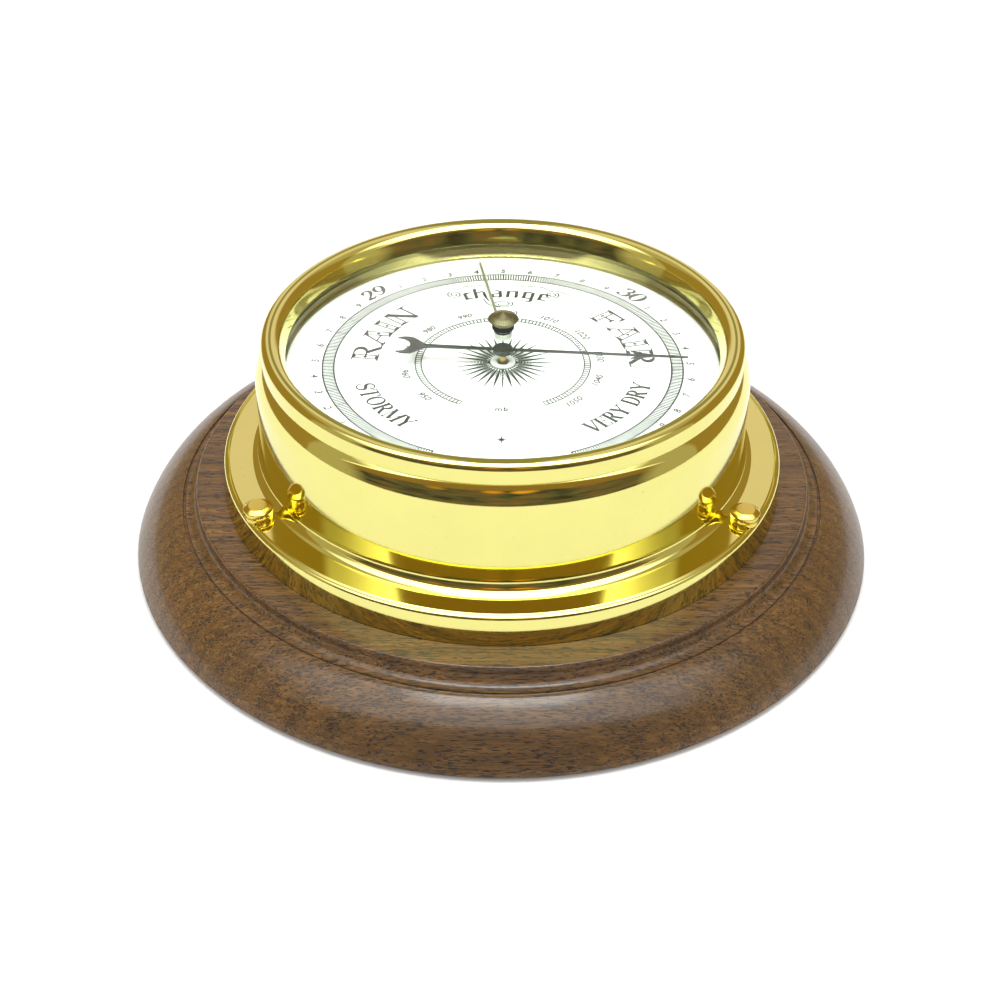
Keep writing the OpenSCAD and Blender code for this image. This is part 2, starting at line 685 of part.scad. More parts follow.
module lever_screws() color("silver") for (y = lever_screw_y)
translate([lever_screw_x, y, spring_top_z + lever_t]) cheese_screw(1.5, 0.9, 0.8, lever_t + spring_t - 0.1);

// Flat link with a pin through the lever and an eye round the short arm's pin
module connecting_link() color("goldenrod") {
    translate([link_x, lever_y - 1.2, link_pin_z]) rotate([-90, 0, 0])
        cylinder(r = link_pin_r - 0.01, h = link_y + link_t - lever_y + 1.2, $fn = 24);
    translate([0, link_y + link_t, 0]) rotate([90, 0, 0]) linear_extrude(link_t) difference() {
        union() {
            translate([link_x - 0.6, shaft_z]) square([1.2, link_pin_z - shaft_z]);
            translate([link_x, shaft_z]) circle(r = 1.7, $fn = 32);
            translate([link_x, link_pin_z]) circle(r = 0.9, $fn = 32);
        }
        translate([link_x, shaft_z]) circle(r = link_eye_r, $fn = 32);
    }
}

// Shaft between pivots, with the short arm and its pin and the upright chain arm
module rocking_shaft() color("goldenrod") {
    along_y(post_a_y + post_t / 2 + 0.6, post_b_y - post_t / 2 - 0.6, shaft_r);
    along_y(post_a_y + 0.9, post_b_y - 0.9, shaft_pivot_r);
    translate([0, 7, 0]) rotate([90, 0, 0]) linear_extrude(1.2) difference() {
        union() {
            translate([link_x, shaft_z - 0.8]) square([short_arm_len, 1.6]);
            translate([shaft_x, shaft_z]) circle(r = 2, $fn = 32);
            translate([link_x, shaft_z]) circle(r = 0.8, $fn = 32);
        }
    }
    translate([link_x, 6.4, shaft_z]) rotate([-90, 0, 0]) cylinder(r = link_pin_r, h = 2.6, $fn = 24);
    translate([0, -0.8, 0]) rotate([90, 0, 0]) linear_extrude(1.2) {
        translate([shaft_x, shaft_z]) circle(r = 2, $fn = 32);
        translate([shaft_x - 0.8, shaft_z]) square([1.6, chain_arm_len]);
        translate([shaft_x, chain_z]) circle(r = 0.8, $fn = 32);
    }
}

// A cylinder on the rocking shaft's axis from one y to another
module along_y(from, to, r) {
    translate([shaft_x, from, shaft_z]) rotate([-90, 0, 0]) cylinder(r = r, h = to - from, $fn = 32);
}

// Two posts on one foot, bored for the pivot screws
module shaft_posts() color("goldenrod") difference() {
    union() {
        translate([shaft_x - 3, post_a_y - 1.5, floor_z]) cube([5.5, post_b_y - post_a_y + 3, 1.2]);
        for (y = [post_a_y, post_b_y]) {
            translate([shaft_x - 2.5, y - post_t / 2, floor_z]) cube([5, post_t, shaft_z - floor_z]);
            along_y(y - post_t / 2, y + post_t / 2, 2.5);
        }
    }
    along_y(post_a_y - 5, post_b_y + 5, 1.25);
}

// Screws with a blind bore in which the shaft's pivots turn
module pivot_screws() color("steelblue") {
    pivot_screw(post_a_y, 1);
    pivot_screw(post_b_y, -1);
}

module pivot_screw(y, way) {
    translate([shaft_x, y, shaft_z]) rotate([way * -90, 0, 0]) difference() {
        union() {
            translate([0, 0, -post_t / 2]) cylinder(r = 1.2, h = post_t + 0.3, $fn = 32);
            translate([0, 0, -post_t / 2 - 1]) cylinder(r = 1.9, h = 1, $fn = 32);
        }
        translate([0, 0, 0.7]) cylinder(r = shaft_pivot_r + pivot_gap, h = 5, $fn = 32);
        translate([-3, -0.3, -post_t / 2 - 1.6]) cube([6, 0.6, 1]);
    }
}

// Screw from the back through the base plate to the underside of the bridge
module calibration_screw() color("silver") difference() {
    union() {
        translate([bridge_x, 0, base_z - 1.1]) cylinder(r = 3.2, h = 1.1, $fn = 48);
        translate([bridge_x, 0, base_z - 0.5])
            cylinder(r = 2, h = spring_z - bridge_h - base_z + 0.4, $fn = 32);
    }
    translate([bridge_x - 5, -0.5, base_z - 1.7]) cube([10, 1, 1.2]);
}

wooden_base();
hanger_plate();
hanger_screws();
mounting_flange();
brass_case();
flange_screws();
back_plate();
back_plate_screws();
bezel_ring();
front_glass();
glass_gasket();
dial_ring();
dial_plate();
dial_washer();
set_knob();
set_spindle();
knob_washer();
set_spring_washer();
set_hand();
pointer();
pointer_arbor();
chain_drum();
drive_chain();
hairspring();
hairspring_stud();
arbor_plate();
arbor_pillars();
arbor_cock();
cock_screws();
movement_base_plate();
movement_screws();
capsule_foot();
capsule_lower_shell();
capsule_upper_shell();
capsule_post();
spring_bridge();
bridge_screws();
main_spring();
spring_screws();
main_lever();
lever_screws();
connecting_link();
rocking_shaft();
shaft_posts();
pivot_screws();
calibration_screw();
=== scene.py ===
"""Looks of the aneroid barometer: turned brass case, printed dial under glass, oak mount."""

import json
import math

import bpy
from mathutils import Matrix, Vector


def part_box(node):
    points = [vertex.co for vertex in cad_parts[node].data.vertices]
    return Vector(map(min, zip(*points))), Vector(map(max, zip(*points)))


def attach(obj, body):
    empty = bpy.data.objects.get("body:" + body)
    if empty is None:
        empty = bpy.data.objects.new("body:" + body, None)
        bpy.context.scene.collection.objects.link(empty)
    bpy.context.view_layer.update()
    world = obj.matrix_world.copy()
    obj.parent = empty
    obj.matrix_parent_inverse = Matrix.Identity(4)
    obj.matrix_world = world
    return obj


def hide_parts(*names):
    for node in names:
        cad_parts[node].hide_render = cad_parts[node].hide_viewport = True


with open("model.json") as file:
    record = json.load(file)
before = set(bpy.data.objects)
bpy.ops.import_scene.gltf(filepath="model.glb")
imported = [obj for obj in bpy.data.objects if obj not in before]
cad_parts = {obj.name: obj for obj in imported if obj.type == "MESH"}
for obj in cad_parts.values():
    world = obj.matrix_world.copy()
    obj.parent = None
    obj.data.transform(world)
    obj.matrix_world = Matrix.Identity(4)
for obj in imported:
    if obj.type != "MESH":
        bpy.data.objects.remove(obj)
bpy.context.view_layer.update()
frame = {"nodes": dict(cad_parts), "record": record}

MM = 0.001
FINE = 512  # segments of the big turned pieces
AXIS_R = 1e-6  # a smaller radius than this is the axis itself
NODES = frame["nodes"]


def top(node):
    """Height of a node's highest point."""
    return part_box(node)[1].z


def bottom(node):
    """Height of a node's lowest point."""
    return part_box(node)[0].z


def radius(node):
    """Half the width of a round node."""
    low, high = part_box(node)
    return (high.x - low.x) / 2


# Turned pieces


def arc(centre, r, start, end, steps):
    """Points of an arc in the (radius, height) plane, angles in degrees from the radius axis."""
    points = []
    for i in range(steps + 1):
        a = math.radians(start + (end - start) * i / steps)
        points.append((centre[0] + r * math.cos(a), centre[1] + r * math.sin(a)))
    return points


def lathe_mesh(profile, segments, sharp_deg):
    """Vertices, faces and sharp edges of a closed outline turned round the Z axis."""
    rings, verts = [], []
    for r, z in profile:
        if r < AXIS_R:
            rings.append([len(verts)])
            verts.append((0, 0, z))
            continue
        rings.append(list(range(len(verts), len(verts) + segments)))
        for k in range(segments):
            a = 2 * math.pi * k / segments
            verts.append((r * math.cos(a), r * math.sin(a), z))
    faces, sharp = [], []
    count = len(profile)
    for i in range(count):
        near, far = rings[i], rings[(i + 1) % count]
        if len(near) == 1 and len(far) == 1:
            continue
        for k in range(segments):
            n = (k + 1) % segments
            if len(near) == 1:
                faces.append((near[0], far[n], far[k]))
            elif len(far) == 1:
                faces.append((near[k], near[n], far[0]))
            else:
                faces.append((near[k], near[n], far[n], far[k]))
        before, here, after = profile[i - 1], profile[i], profile[(i + 1) % count]
        turn = math.atan2(after[1] - here[1], after[0] - here[0])
        turn -= math.atan2(here[1] - before[1], here[0] - before[0])
        turn = abs((math.degrees(turn) + 180) % 360 - 180)
        if turn > sharp_deg and len(rings[i]) > 1:
            sharp += [(rings[i][k], rings[i][(k + 1) % segments]) for k in range(segments)]
    return verts, faces, sharp


def new_object(name, verts, faces, sharp=(), smooth=True):
    """A linked mesh object with smooth shading, broken at the sharp edges."""
    mesh = bpy.data.meshes.new(name)
    mesh.from_pydata(verts, [], faces)
    mesh.validate()
    mesh.polygons.foreach_set("use_smooth", [smooth] * len(mesh.polygons))
    if sharp:
        wanted = {tuple(sorted(e)) for e in sharp}
        for edge in mesh.edges:
            if tuple(sorted(edge.vertices)) in wanted:
                edge.use_edge_sharp = True
    obj = bpy.data.objects.new(name, mesh)
    bpy.context.scene.collection.objects.link(obj)
    return obj


def turned(name, profile, sharp_deg):
    """A piece turned round the case axis. The outline runs so that faces point outwards."""
    area = 0
    for i in range(len(profile)):
        (x0, z0), (x1, z1) = profile[i - 1], profile[i]
        area += x0 * z1 - x1 * z0
    if area < 0:
        profile = profile[::-1]
    return new_object(name, *lathe_mesh(profile, FINE, sharp_deg))


def finish_piece(obj, body, slot, material, *nodes):
    """Puts a piece on its body, hides the nodes it replaces, and gives it its material. The slot is not
    used.
    """
    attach(obj, body)
    if nodes:
        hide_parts(*nodes)
    obj.data.materials.clear()
    obj.data.materials.append(material)


# Node materials. Scales are per metre and bump distances are metres.

MIX_A, MIX_B, MIX_RESULT = 6, 7, 2  # colour sockets of a Mix node


def scaled(colour, factor):
    """A colour made darker or lighter."""
    return tuple(c * factor for c in colour)


class Shader:
    """A small helper round one material's node tree."""

    def __init__(self, name):
        self.material = bpy.data.materials.new(name)
        self.material.use_nodes = True
        self.tree = self.material.node_tree
        self.tree.nodes.clear()
        self.output = self.tree.nodes.new("ShaderNodeOutputMaterial")
        self.principled = self.tree.nodes.new("ShaderNodeBsdfPrincipled")
        self.link(self.principled.outputs[0], self.output.inputs["Surface"])
        self.coords = self.tree.nodes.new("ShaderNodeTexCoord").outputs["Object"]

    def link(self, source, target):
        """Joins an output to an input."""
        self.tree.links.new(source, target)

    def set(self, **values):
        """Constants on the shader's own sockets, their names written with underscores."""
        for name, value in values.items():
            socket = name.replace("_", " ").title().replace("Ior", "IOR")
            self.principled.inputs[socket].default_value = value
        return self

    def stretched(self, scale):
        """The object's coordinates, scaled along each axis."""
        node = self.tree.nodes.new("ShaderNodeMapping")
        node.inputs["Scale"].default_value = scale
        self.link(self.coords, node.inputs["Vector"])
        return node.outputs[0]

    def noise(self, vector, scale, detail, rough):
        """Noise from 0 to 1."""
        node = self.tree.nodes.new("ShaderNodeTexNoise")
        self.link(vector, node.inputs["Vector"])
        node.inputs["Scale"].default_value = scale
        node.inputs["Detail"].default_value = detail
        node.inputs["Roughness"].default_value = rough
        return node.outputs["Fac"]

    def ramp(self, value, *stops):
        """A colour ramp with (position, grey or colour) stops."""
        node = self.tree.nodes.new("ShaderNodeValToRGB")
        elements = node.color_ramp.elements
        while len(elements) < len(stops):
            elements.new(0.5)
        for element, (position, colour) in zip(elements, stops):
            element.position = position
            if not isinstance(colour, tuple):
                colour = (colour, colour, colour)
            element.color = (*colour, 1)
        self.link(value, node.inputs["Fac"])
        return node.outputs["Color"]

    def math(self, operation, a, b=None):
        """A Math node, its arguments numbers or outputs."""
        node = self.tree.nodes.new("ShaderNodeMath")
        node.operation = operation
        for socket, value in zip(node.inputs, (a, b)):
            if value is None:
                continue
            if isinstance(value, (int, float)):
                socket.default_value = value
            else:
                self.link(value, socket)
        return node.outputs[0]

    def mix(self, factor, a, b):
        """Colour a where the factor is 0 and b where it is 1."""
        node = self.tree.nodes.new("ShaderNodeMix")
        node.data_type = "RGBA"
        if isinstance(factor, (int, float)):
            node.inputs["Factor"].default_value = factor
        else:
            self.link(factor, node.inputs["Factor"])
        for socket, value in ((node.inputs[MIX_A], a), (node.inputs[MIX_B], b)):
            if isinstance(value, tuple):
                socket.default_value = (*value, 1)
            else:
                self.link(value, socket)
        return node.outputs[MIX_RESULT]

    def bump(self, height, strength, distance):
        """Surface relief from a height."""
        node = self.tree.nodes.new("ShaderNodeBump")
        node.inputs["Strength"].default_value = strength
        node.inputs["Distance"].default_value = distance
        self.link(height, node.inputs["Height"])
        self.link(node.outputs[0], self.principled.inputs["Normal"])

    def feed(self, name, value):
        """Joins an output to one of the shader's sockets."""
        self.link(value, self.principled.inputs[name])


BRASS = (0.82, 0.77, 0.265)


def brass(name, colour=BRASS, rough=0.05, spread=0.05, wave=0.00003):
    """Lacquered brass: wavy polish, cloudy roughness, fine scratches and a few dull specks."""
    s = Shader(name).set(Metallic=1.0)
    cloud = s.noise(s.coords, 60, 4, 0.6)
    scratch = s.noise(s.stretched((900, 900, 60)), 1, 2, 0.7)
    speck = s.ramp(s.noise(s.coords, 900, 2, 0.5), (0.70, 0.0), (0.78, 1.0))
    tint = s.ramp(cloud, (0.3, scaled(colour, 0.955)), (0.7, colour))
    worn = s.mix(s.math("MULTIPLY", speck, 0.35), tint, scaled(colour, 0.55))
    s.feed("Base Color", worn)
    spots = s.math("ADD", s.math("MULTIPLY", cloud, spread), s.math("MULTIPLY", scratch, spread * 0.5))
    s.feed("Roughness", s.math("ADD", spots, max(rough - 0.02, 0.01)))
    s.bump(s.noise(s.coords, 45, 1, 0.4), 0.6, wave)
    return s.material


def metal(name, colour, rough=0.3, grain=(300, 300, 300), depth=0.00001, dark=0.8):
    """Plain machined metal with fine grain, cloudy tone and a soft bump."""
    s = Shader(name).set(Metallic=1.0)
    cloud = s.noise(s.coords, 120, 4, 0.6)
    lines = s.noise(s.stretched(grain), 1, 3, 0.6)
    s.feed("Base Color", s.ramp(cloud, (0.3, scaled(colour, dark)), (0.7, colour)))
    s.feed("Roughness", s.math("ADD", s.math("MULTIPLY", lines, 0.2), max(rough - 0.1, 0.02)))
    s.bump(lines, 0.4, depth)
    return s.material


OAK_COLOURS = (0.215, 0.110, 0.030), (0.112, 0.052, 0.014), (0.040, 0.021, 0.008), (0.014, 0.010, 0.008)


def oak():
    """Dark waxed oak, grain along X: rings, fine streaks, short open pores and a thin wax coat."""
    s = Shader("oak").set(IOR=1.5, Specular_ior_level=0.25)
    s.set(Coat_weight=0.5, Coat_roughness=0.17, Coat_ior=1.5)
    heart_y, heart_z, rings_per_metre, ring_wander = 0.35, -0.16, 210, 0.014
    split = s.tree.nodes.new("ShaderNodeSeparateXYZ")
    wander = s.noise(s.stretched((5, 16, 16)), 1, 2, 0.5)
    s.link(s.coords, split.inputs[0])
    # Distance from the tree's heart, which lies below and behind the board
    dy = s.math("ADD", split.outputs[1], -heart_y)
    dz = s.math("ADD", split.outputs[2], -heart_z)
    heart = s.math("SQRT", s.math("ADD", s.math("MULTIPLY", dy, dy), s.math("MULTIPLY", dz, dz)))
    bent = s.math("ADD", heart, s.math("MULTIPLY", wander, ring_wander))
    ring = s.math("FRACT", s.math("MULTIPLY", bent, rings_per_metre))
    ring_tone = s.ramp(ring, (0.0, 0.35), (0.25, 0.75), (0.75, 0.60), (1.0, 0.35))
    streak = s.noise(s.stretched((34, 1000, 1000)), 1, 5, 0.7)
    broad = s.noise(s.stretched((4, 34, 48)), 1, 3, 0.5)
    pore = s.noise(s.stretched((400, 2900, 2900)), 1, 1, 0.5)
    long_pore = s.noise(s.stretched((110, 2500, 2500)), 1, 2, 0.5)
    early = s.ramp(ring, (0.0, 1.0), (0.5, 0.90), (1.0, 0.99))
    pore_mask = s.ramp(s.math("MULTIPLY", pore, early), (0.545, 0.0), (0.590, 1.0))
    long_mask = s.ramp(s.math("MULTIPLY", long_pore, early), (0.565, 0.0), (0.625, 0.9))
    light, mid, dark, pore_dark = OAK_COLOURS
    tone = s.mix(0.22, s.ramp(streak, (0.32, dark), (0.5, mid), (0.68, light)),
                 s.ramp(ring_tone, (0.1, dark), (0.9, light)))
    tone = s.mix(s.ramp(broad, (0.40, 0.0), (0.75, 0.6)), tone, dark)
    pores = s.math("MAXIMUM", pore_mask, long_mask)
    tone = s.mix(s.math("MULTIPLY", pores, 0.9), tone, pore_dark)
    s.feed("Base Color", tone)
    s.feed("Roughness", s.math("ADD", s.math("MULTIPLY", streak, 0.2), 0.32))
    s.bump(s.math("ADD", s.math("MULTIPLY", pores, -1.0), s.math("MULTIPLY", streak, 0.3)), 0.5, 0.00018)
    return s.material


def dial_paint():
    """Satin white enamel with a very fine texture."""
    s = Shader("dial_white").set(Coat_weight=0.2, Coat_roughness=0.15)
    cloud = s.noise(s.coords, 35, 3, 0.5)
    s.feed("Base Color", s.ramp(cloud, (0.3, (0.86, 0.885, 0.875)), (0.7, (0.90, 0.915, 0.905))))
    s.feed("Roughness", s.math("ADD", s.math("MULTIPLY", s.noise(s.coords, 2500, 2, 0.5), 0.15), 0.35))
    s.bump(s.noise(s.coords, 3000, 2, 0.5), 0.2, 0.000005)
    return s.material


def ink():
    """Dark grey-green printing ink with slight unevenness."""
    s = Shader("ink").set(Specular_ior_level=0.3)
    cloud = s.noise(s.coords, 700, 3, 0.6)
    s.feed("Base Color", s.ramp(cloud, (0.3, (0.007, 0.014, 0.013)), (0.7, (0.018, 0.028, 0.026))))
    s.feed("Roughness", s.math("ADD", s.math("MULTIPLY", cloud, 0.2), 0.45))
    s.bump(cloud, 0.2, 0.000004)
    return s.material


def rubber(name, colour):
    """Matt black rubber with a fine tooth."""
    s = Shader(name)
    cloud = s.noise(s.coords, 900, 3, 0.6)
    s.feed("Base Color", s.ramp(cloud, (0.3, colour), (0.7, scaled(colour, 1.8))))
    s.feed("Roughness", s.math("ADD", s.math("MULTIPLY", cloud, 0.3), 0.5))
    s.bump(cloud, 0.3, 0.00003)
    return s.material


def glass():
    """Clear soda glass, faintly green, that lets shadow rays through."""
    s = Shader("clear_glass").set(Transmission_weight=1.0, IOR=1.5, Roughness=0.0)
    cloud = s.noise(s.coords, 20, 2, 0.5)
    s.feed("Base Color", s.ramp(cloud, (0.3, (0.945, 0.985, 0.965)), (0.7, (0.955, 0.99, 0.975))))
    clear = s.tree.nodes.new("ShaderNodeBsdfTransparent")
    clear.inputs[0].default_value = (0.93, 0.97, 0.95, 1)
    mixer = s.tree.nodes.new("ShaderNodeMixShader")
    rays = s.tree.nodes.new("ShaderNodeLightPath")
    s.link(rays.outputs["Is Shadow Ray"], mixer.inputs[0])
    s.link(s.principled.outputs[0], mixer.inputs[1])
    s.link(clear.outputs[0], mixer.inputs[2])
    s.link(mixer.outputs[0], s.output.inputs["Surface"])
    return s.material


MATERIALS = {
    "oak": oak(),
    "polished_brass": brass("polished_brass"),
    "dark_brass": metal("dark_brass", (0.16, 0.15, 0.085), 0.38, (400, 400, 900)),
    "hand_brass": metal("hand_brass", (0.62, 0.66, 0.50), 0.35, (900, 900, 900)),
    "dial_white": dial_paint(),
    "clear_glass": glass(),
    "black_rubber": rubber("black_rubber", (0.012, 0.013, 0.015)),
    "blued_steel": metal("blued_steel", (0.085, 0.115, 0.120), 0.30, (200, 900, 900), dark=0.6),
    "bright_steel": metal("bright_steel", (0.62, 0.63, 0.65), 0.25, (900, 60, 900)),
    "nickel_silver": metal("nickel_silver", (0.70, 0.67, 0.58), 0.22, (500, 500, 500)),
    "cast_bridge": metal("cast_bridge", (0.16, 0.17, 0.19), 0.55, (900, 900, 900), 0.00006),
    "plated_steel": metal("plated_steel", (0.74, 0.60, 0.28), 0.28, (80, 900, 900)),
    "movement_brass": metal("movement_brass", (0.76, 0.58, 0.24), 0.24, (60, 900, 900)),
}
INK = ink()
SCREW_BRASS = brass("screw_brass", (0.80, 0.64, 0.15), rough=0.13, spread=0.10, wave=0.00005)
KNOB_BRASS = metal("knob_brass", (0.25, 0.24, 0.135), 0.30, (1500, 1500, 1500), 0.00002, dark=0.65)

for entry in frame["record"]["subparts"]:
    node = NODES[entry["node"]]
    node.data.materials.clear()
    node.data.materials.append(MATERIALS[entry["material_slot"]])
NODES["set_knob"].data.materials[0] = KNOB_BRASS


# Oak mount


def prism(name, outline, low, high):
    """A closed upright prism over an outline, anticlockwise from above."""
    count = len(outline)
    verts = [(x, y, low) for x, y in outline] + [(x, y, high) for x, y in outline]
    faces = [tuple(range(count))[::-1], tuple(range(count, 2 * count))]
    faces += [(i, (i + 1) % count, count + (i + 1) % count, count + i) for i in range(count)]
    return new_object(name, verts, faces, smooth=False)


def stadium(cx, cy, half_length, r, upright=False):
    """Outline of a slot with round ends, along X or along Y."""
    points, steps = [], 24
    for side, start in ((1, -90), (-1, 90)):
        for i in range(steps + 1):
            a = math.radians(start + 180 * i / steps)
            points.append((side * half_length + r * math.cos(a), r * math.sin(a)))
    if upright:
        points = [(-y, x) for x, y in points]
    return [(cx + x, cy + y) for x, y in points]


def cut_away(obj, cutters):
    """Takes the cutters out of a mesh for good."""
    for cutter in cutters:
        modifier = obj.modifiers.new("cut", "BOOLEAN")
        modifier.operation = "DIFFERENCE"
        modifier.solver = "EXACT"
        modifier.object = cutter
    graph = bpy.context.evaluated_depsgraph_get()
    mesh = bpy.data.meshes.new_from_object(obj.evaluated_get(graph))
    obj.modifiers.clear()
    obj.data = mesh
    for cutter in cutters:
        bpy.data.objects.remove(cutter)


def edge_arc(low, high, r, steps):
    """Arc of radius r from one outline point up to another, bulging outwards."""
    chord = (high[0] - low[0], high[1] - low[1])
    half = math.hypot(*chord) / 2
    normal = (-chord[1] / (2 * half), chord[0] / (2 * half))
    rise = math.sqrt(r**2 - half**2)
    centre = ((low[0] + high[0]) / 2 + normal[0] * rise, (low[1] + high[1]) / 2 + normal[1] * rise)
    first = math.degrees(math.atan2(low[1] - centre[1], low[0] - centre[0]))
    last = math.degrees(math.atan2(high[1] - centre[1], high[0] - centre[0]))
    return arc(centre, r, first, last, steps)


def mount_profile():
    """Outline of the oak: rounded foot, ovolo edge, bead groove, cove and platform."""
    mount_r, mount_h = radius("wooden_base"), top("wooden_base")
    platform_r = mount_r - 17.7 * MM
    bead_z = mount_h - 4.9 * MM
    foot_x, foot_r = mount_r - 1.9 * MM, 1.2 * MM
    ovolo_r, groove_r, cove_r, round_r = 25 * MM, 0.45 * MM, 3 * MM, 0.7 * MM
    profile = [(0, 0), (foot_x, 0)]
    profile += arc((foot_x, foot_r), foot_r, -90, -20, 4)
    profile += edge_arc((mount_r, 1.6 * MM), (platform_r + 4.5 * MM, bead_z), ovolo_r, 28)
    profile += arc((platform_r + 3.75 * MM, bead_z - 0.15 * MM), groove_r, 20, -200, 10)
    profile += arc((platform_r + cove_r, bead_z + cove_r), cove_r, 268, 180, 10)
    profile += arc((platform_r - round_r, mount_h - round_r), round_r, 0, 90, 6)
    profile += [(0, mount_h)]
    return profile


def underside_cutters():
    """The calibration hole, the hanger plate's recess and the pocket for the nail's head."""
    screw_low, screw_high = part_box("calibration_screw")
    access_x = (screw_low.x + screw_high.x) / 2
    plate_low, plate_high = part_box("hanger_plate")
    plate_y = (plate_low.y + plate_high.y) / 2
    play = 0.2 * MM
    plate_r = (plate_high.y - plate_low.y) / 2 + play
    access = stadium(access_x, 0, 0, 5 * MM)
    recess = stadium(0, plate_y, plate_high.x - plate_r + play, plate_r)
    pocket = stadium(0, plate_y + 0.5 * MM, 3 * MM, 5.2 * MM, upright=True)
    past = 2 * MM
    return [
        prism("cut_access", access, -past, top("wooden_base") + past),
        prism("cut_plate", recess, -past, top("hanger_plate")),
        prism("cut_pocket", pocket, -past, 7.5 * MM),
    ]


def make_mount():
    """The turned oak with the recesses in its underside."""
    mount = turned("oak_mount", mount_profile(), sharp_deg=40)
    cut_away(mount, underside_cutters())
    return mount


finish_piece(make_mount(), "case", "oak", MATERIALS["oak"], "wooden_base")


# Brass case

FILLET_RISE = 3.4 * MM  # how far the solder fillet climbs the drum above the flange's flat
SCREW_CIRCLE_R = 72 * MM
SCREW_ANGLES = (90, 210, 330)
SCREW_SEGMENTS = 96


def bezel_seat():
    """Height at which the rolled bezel sits, a little above the drum's rim."""
    return top("brass_case") + 0.2 * MM


def bezel_opening():
    """Radius of the opening through which the dial is seen."""
    return radius("bezel_ring") - 6.25 * MM


def make_flange():
    """Heavy ring with a rounded edge, a fine turned line inside it and a fillet up to the drum."""
    flange_r, low = radius("mounting_flange"), bottom("mounting_flange")
    drum_r, fillet_r = radius("brass_case"), 3.6 * MM
    flat_z = top("mounting_flange") - FILLET_RISE
    edge_r, taper_deg = 1.2 * MM, 4
    taper = math.radians(taper_deg)
    edge_z = flat_z - edge_r
    edge_x = flange_r - (edge_r + (edge_z - low) * math.sin(taper)) / math.cos(taper)
    fillet_start = 180 + math.degrees(math.asin(FILLET_RISE / fillet_r))
    rebate_r, rebate_z = radius("back_plate") + 0.2 * MM, bottom("movement_base_plate")
    bevel, line_depth = 0.2 * MM, 0.3 * MM
    profile = [(rebate_r, low), (flange_r - bevel, low), (flange_r, low + bevel)]
    profile += arc((edge_x, edge_z), edge_r, taper_deg, 80, 12)
    profile += [(edge_x + 0.2 * MM, flat_z - 0.02 * MM), (edge_x - 0.1 * MM, flat_z - line_depth)]
    profile += [(edge_x - 0.45 * MM, flat_z)]
    profile += arc((drum_r + fillet_r, flat_z + FILLET_RISE), fillet_r, fillet_start, 180, 14)
    profile += [(drum_r, rebate_z), (rebate_r, rebate_z)]
    return turned("flange", profile, sharp_deg=14)


def make_drum():
    """Drum with a rounded shoulder, and inside it the ledge that the dial lies on."""
    drum_r, low, rim_z = radius("brass_case"), bottom("brass_case"), top("brass_case")
    shoulder_r, shoulder_z = 10 * MM, rim_z - 7.1 * MM
    wall, ledge_thick = 1.8 * MM, 1.8 * MM
    bore_r, ledge_r = drum_r - wall, 59.5 * MM
    mouth_r, ledge_z = radius("dial_plate") + 0.3 * MM, bottom("dial_plate")
    last = math.degrees(math.asin((rim_z - shoulder_z) / shoulder_r))
    profile = [(bore_r, low), (drum_r, low)]
    profile += arc((drum_r - shoulder_r, shoulder_z), shoulder_r, 0, last, 24)
    profile += [(mouth_r, rim_z), (mouth_r, ledge_z), (ledge_r, ledge_z)]
    profile += [(ledge_r, ledge_z - ledge_thick), (bore_r, ledge_z - ledge_thick)]
    return turned("drum", profile, sharp_deg=14)


def make_bezel():
    """Rolled ring: a tight outer roll, a rounder inner one, and a steep wall down to the glass."""
    bezel_r, low = radius("bezel_ring"), bezel_seat()
    outer_r, inner_r, wall_tilt = 2.1 * MM, 3.5 * MM, 71.6
    crest_x, crest_z = bezel_r - outer_r + 0.07 * MM, top("bezel_ring")
    outer_foot = math.degrees(math.acos((bezel_r - crest_x) / outer_r))
    bevel, foot_bevel = 0.1 * MM, 0.3 * MM
    opening_r, lip = bezel_opening(), low + bevel
    skirt_r, skirt_z = radius("front_glass") + 1.5 * MM, bottom("bezel_ring")
    skirt_in_r = skirt_r - 1.3 * MM
    profile = [(opening_r, lip + bevel)]
    profile += arc((crest_x, crest_z - inner_r), inner_r, 90 + wall_tilt, 90, 28)
    profile += arc((crest_x, crest_z - outer_r), outer_r, 90, outer_foot, 20)[1:]
    profile += [(bezel_r, low + foot_bevel), (bezel_r - foot_bevel, low), (skirt_r, low)]
    profile += [(skirt_r, skirt_z), (skirt_in_r, skirt_z), (skirt_in_r, lip)]
    profile += [(opening_r + bevel, lip)]
    return turned("bezel", profile, sharp_deg=14)


def make_glass():
    """Domed glass of even thickness, with a centre hole for the spindle."""
    glass_r, top_z, thick = radius("front_glass"), top("front_glass"), 2 * MM
    hole_r = radius("set_spindle") + 0.05 * MM
    rise = top_z - bezel_seat()
    sphere_r = (bezel_opening()**2 + rise**2) / (2 * rise)
    steps = 24
    across = [hole_r + (glass_r - hole_r) * i / steps for i in range(steps + 1)]

    def dome(r, x):
        return top_z - sphere_r + math.sqrt(r * r - x * x)

    profile = [(x, dome(sphere_r - thick, x)) for x in across]
    profile += [(x, dome(sphere_r, x)) for x in reversed(across)]
    return turned("dome_glass", profile, sharp_deg=30)


def make_reflector():
    """Dark ring between dial and glass, with a narrow groove and a bead at its foot."""
    low, high, outer = bottom("dial_ring"), top("dial_ring"), radius("dial_ring")
    inner = bezel_opening() + 0.65 * MM
    groove, groove_z, bead = 0.2 * MM, low + 1.4 * MM, 0.5 * MM
    profile = [(inner, low), (outer, low), (outer, high), (inner, high)]
    profile += [(inner, groove_z + groove), (inner + groove, groove_z), (inner, groove_z - groove)]
    profile += arc((inner, low + bead), bead, 90, 262, 12)
    return turned("reflector_ring", profile, sharp_deg=30)


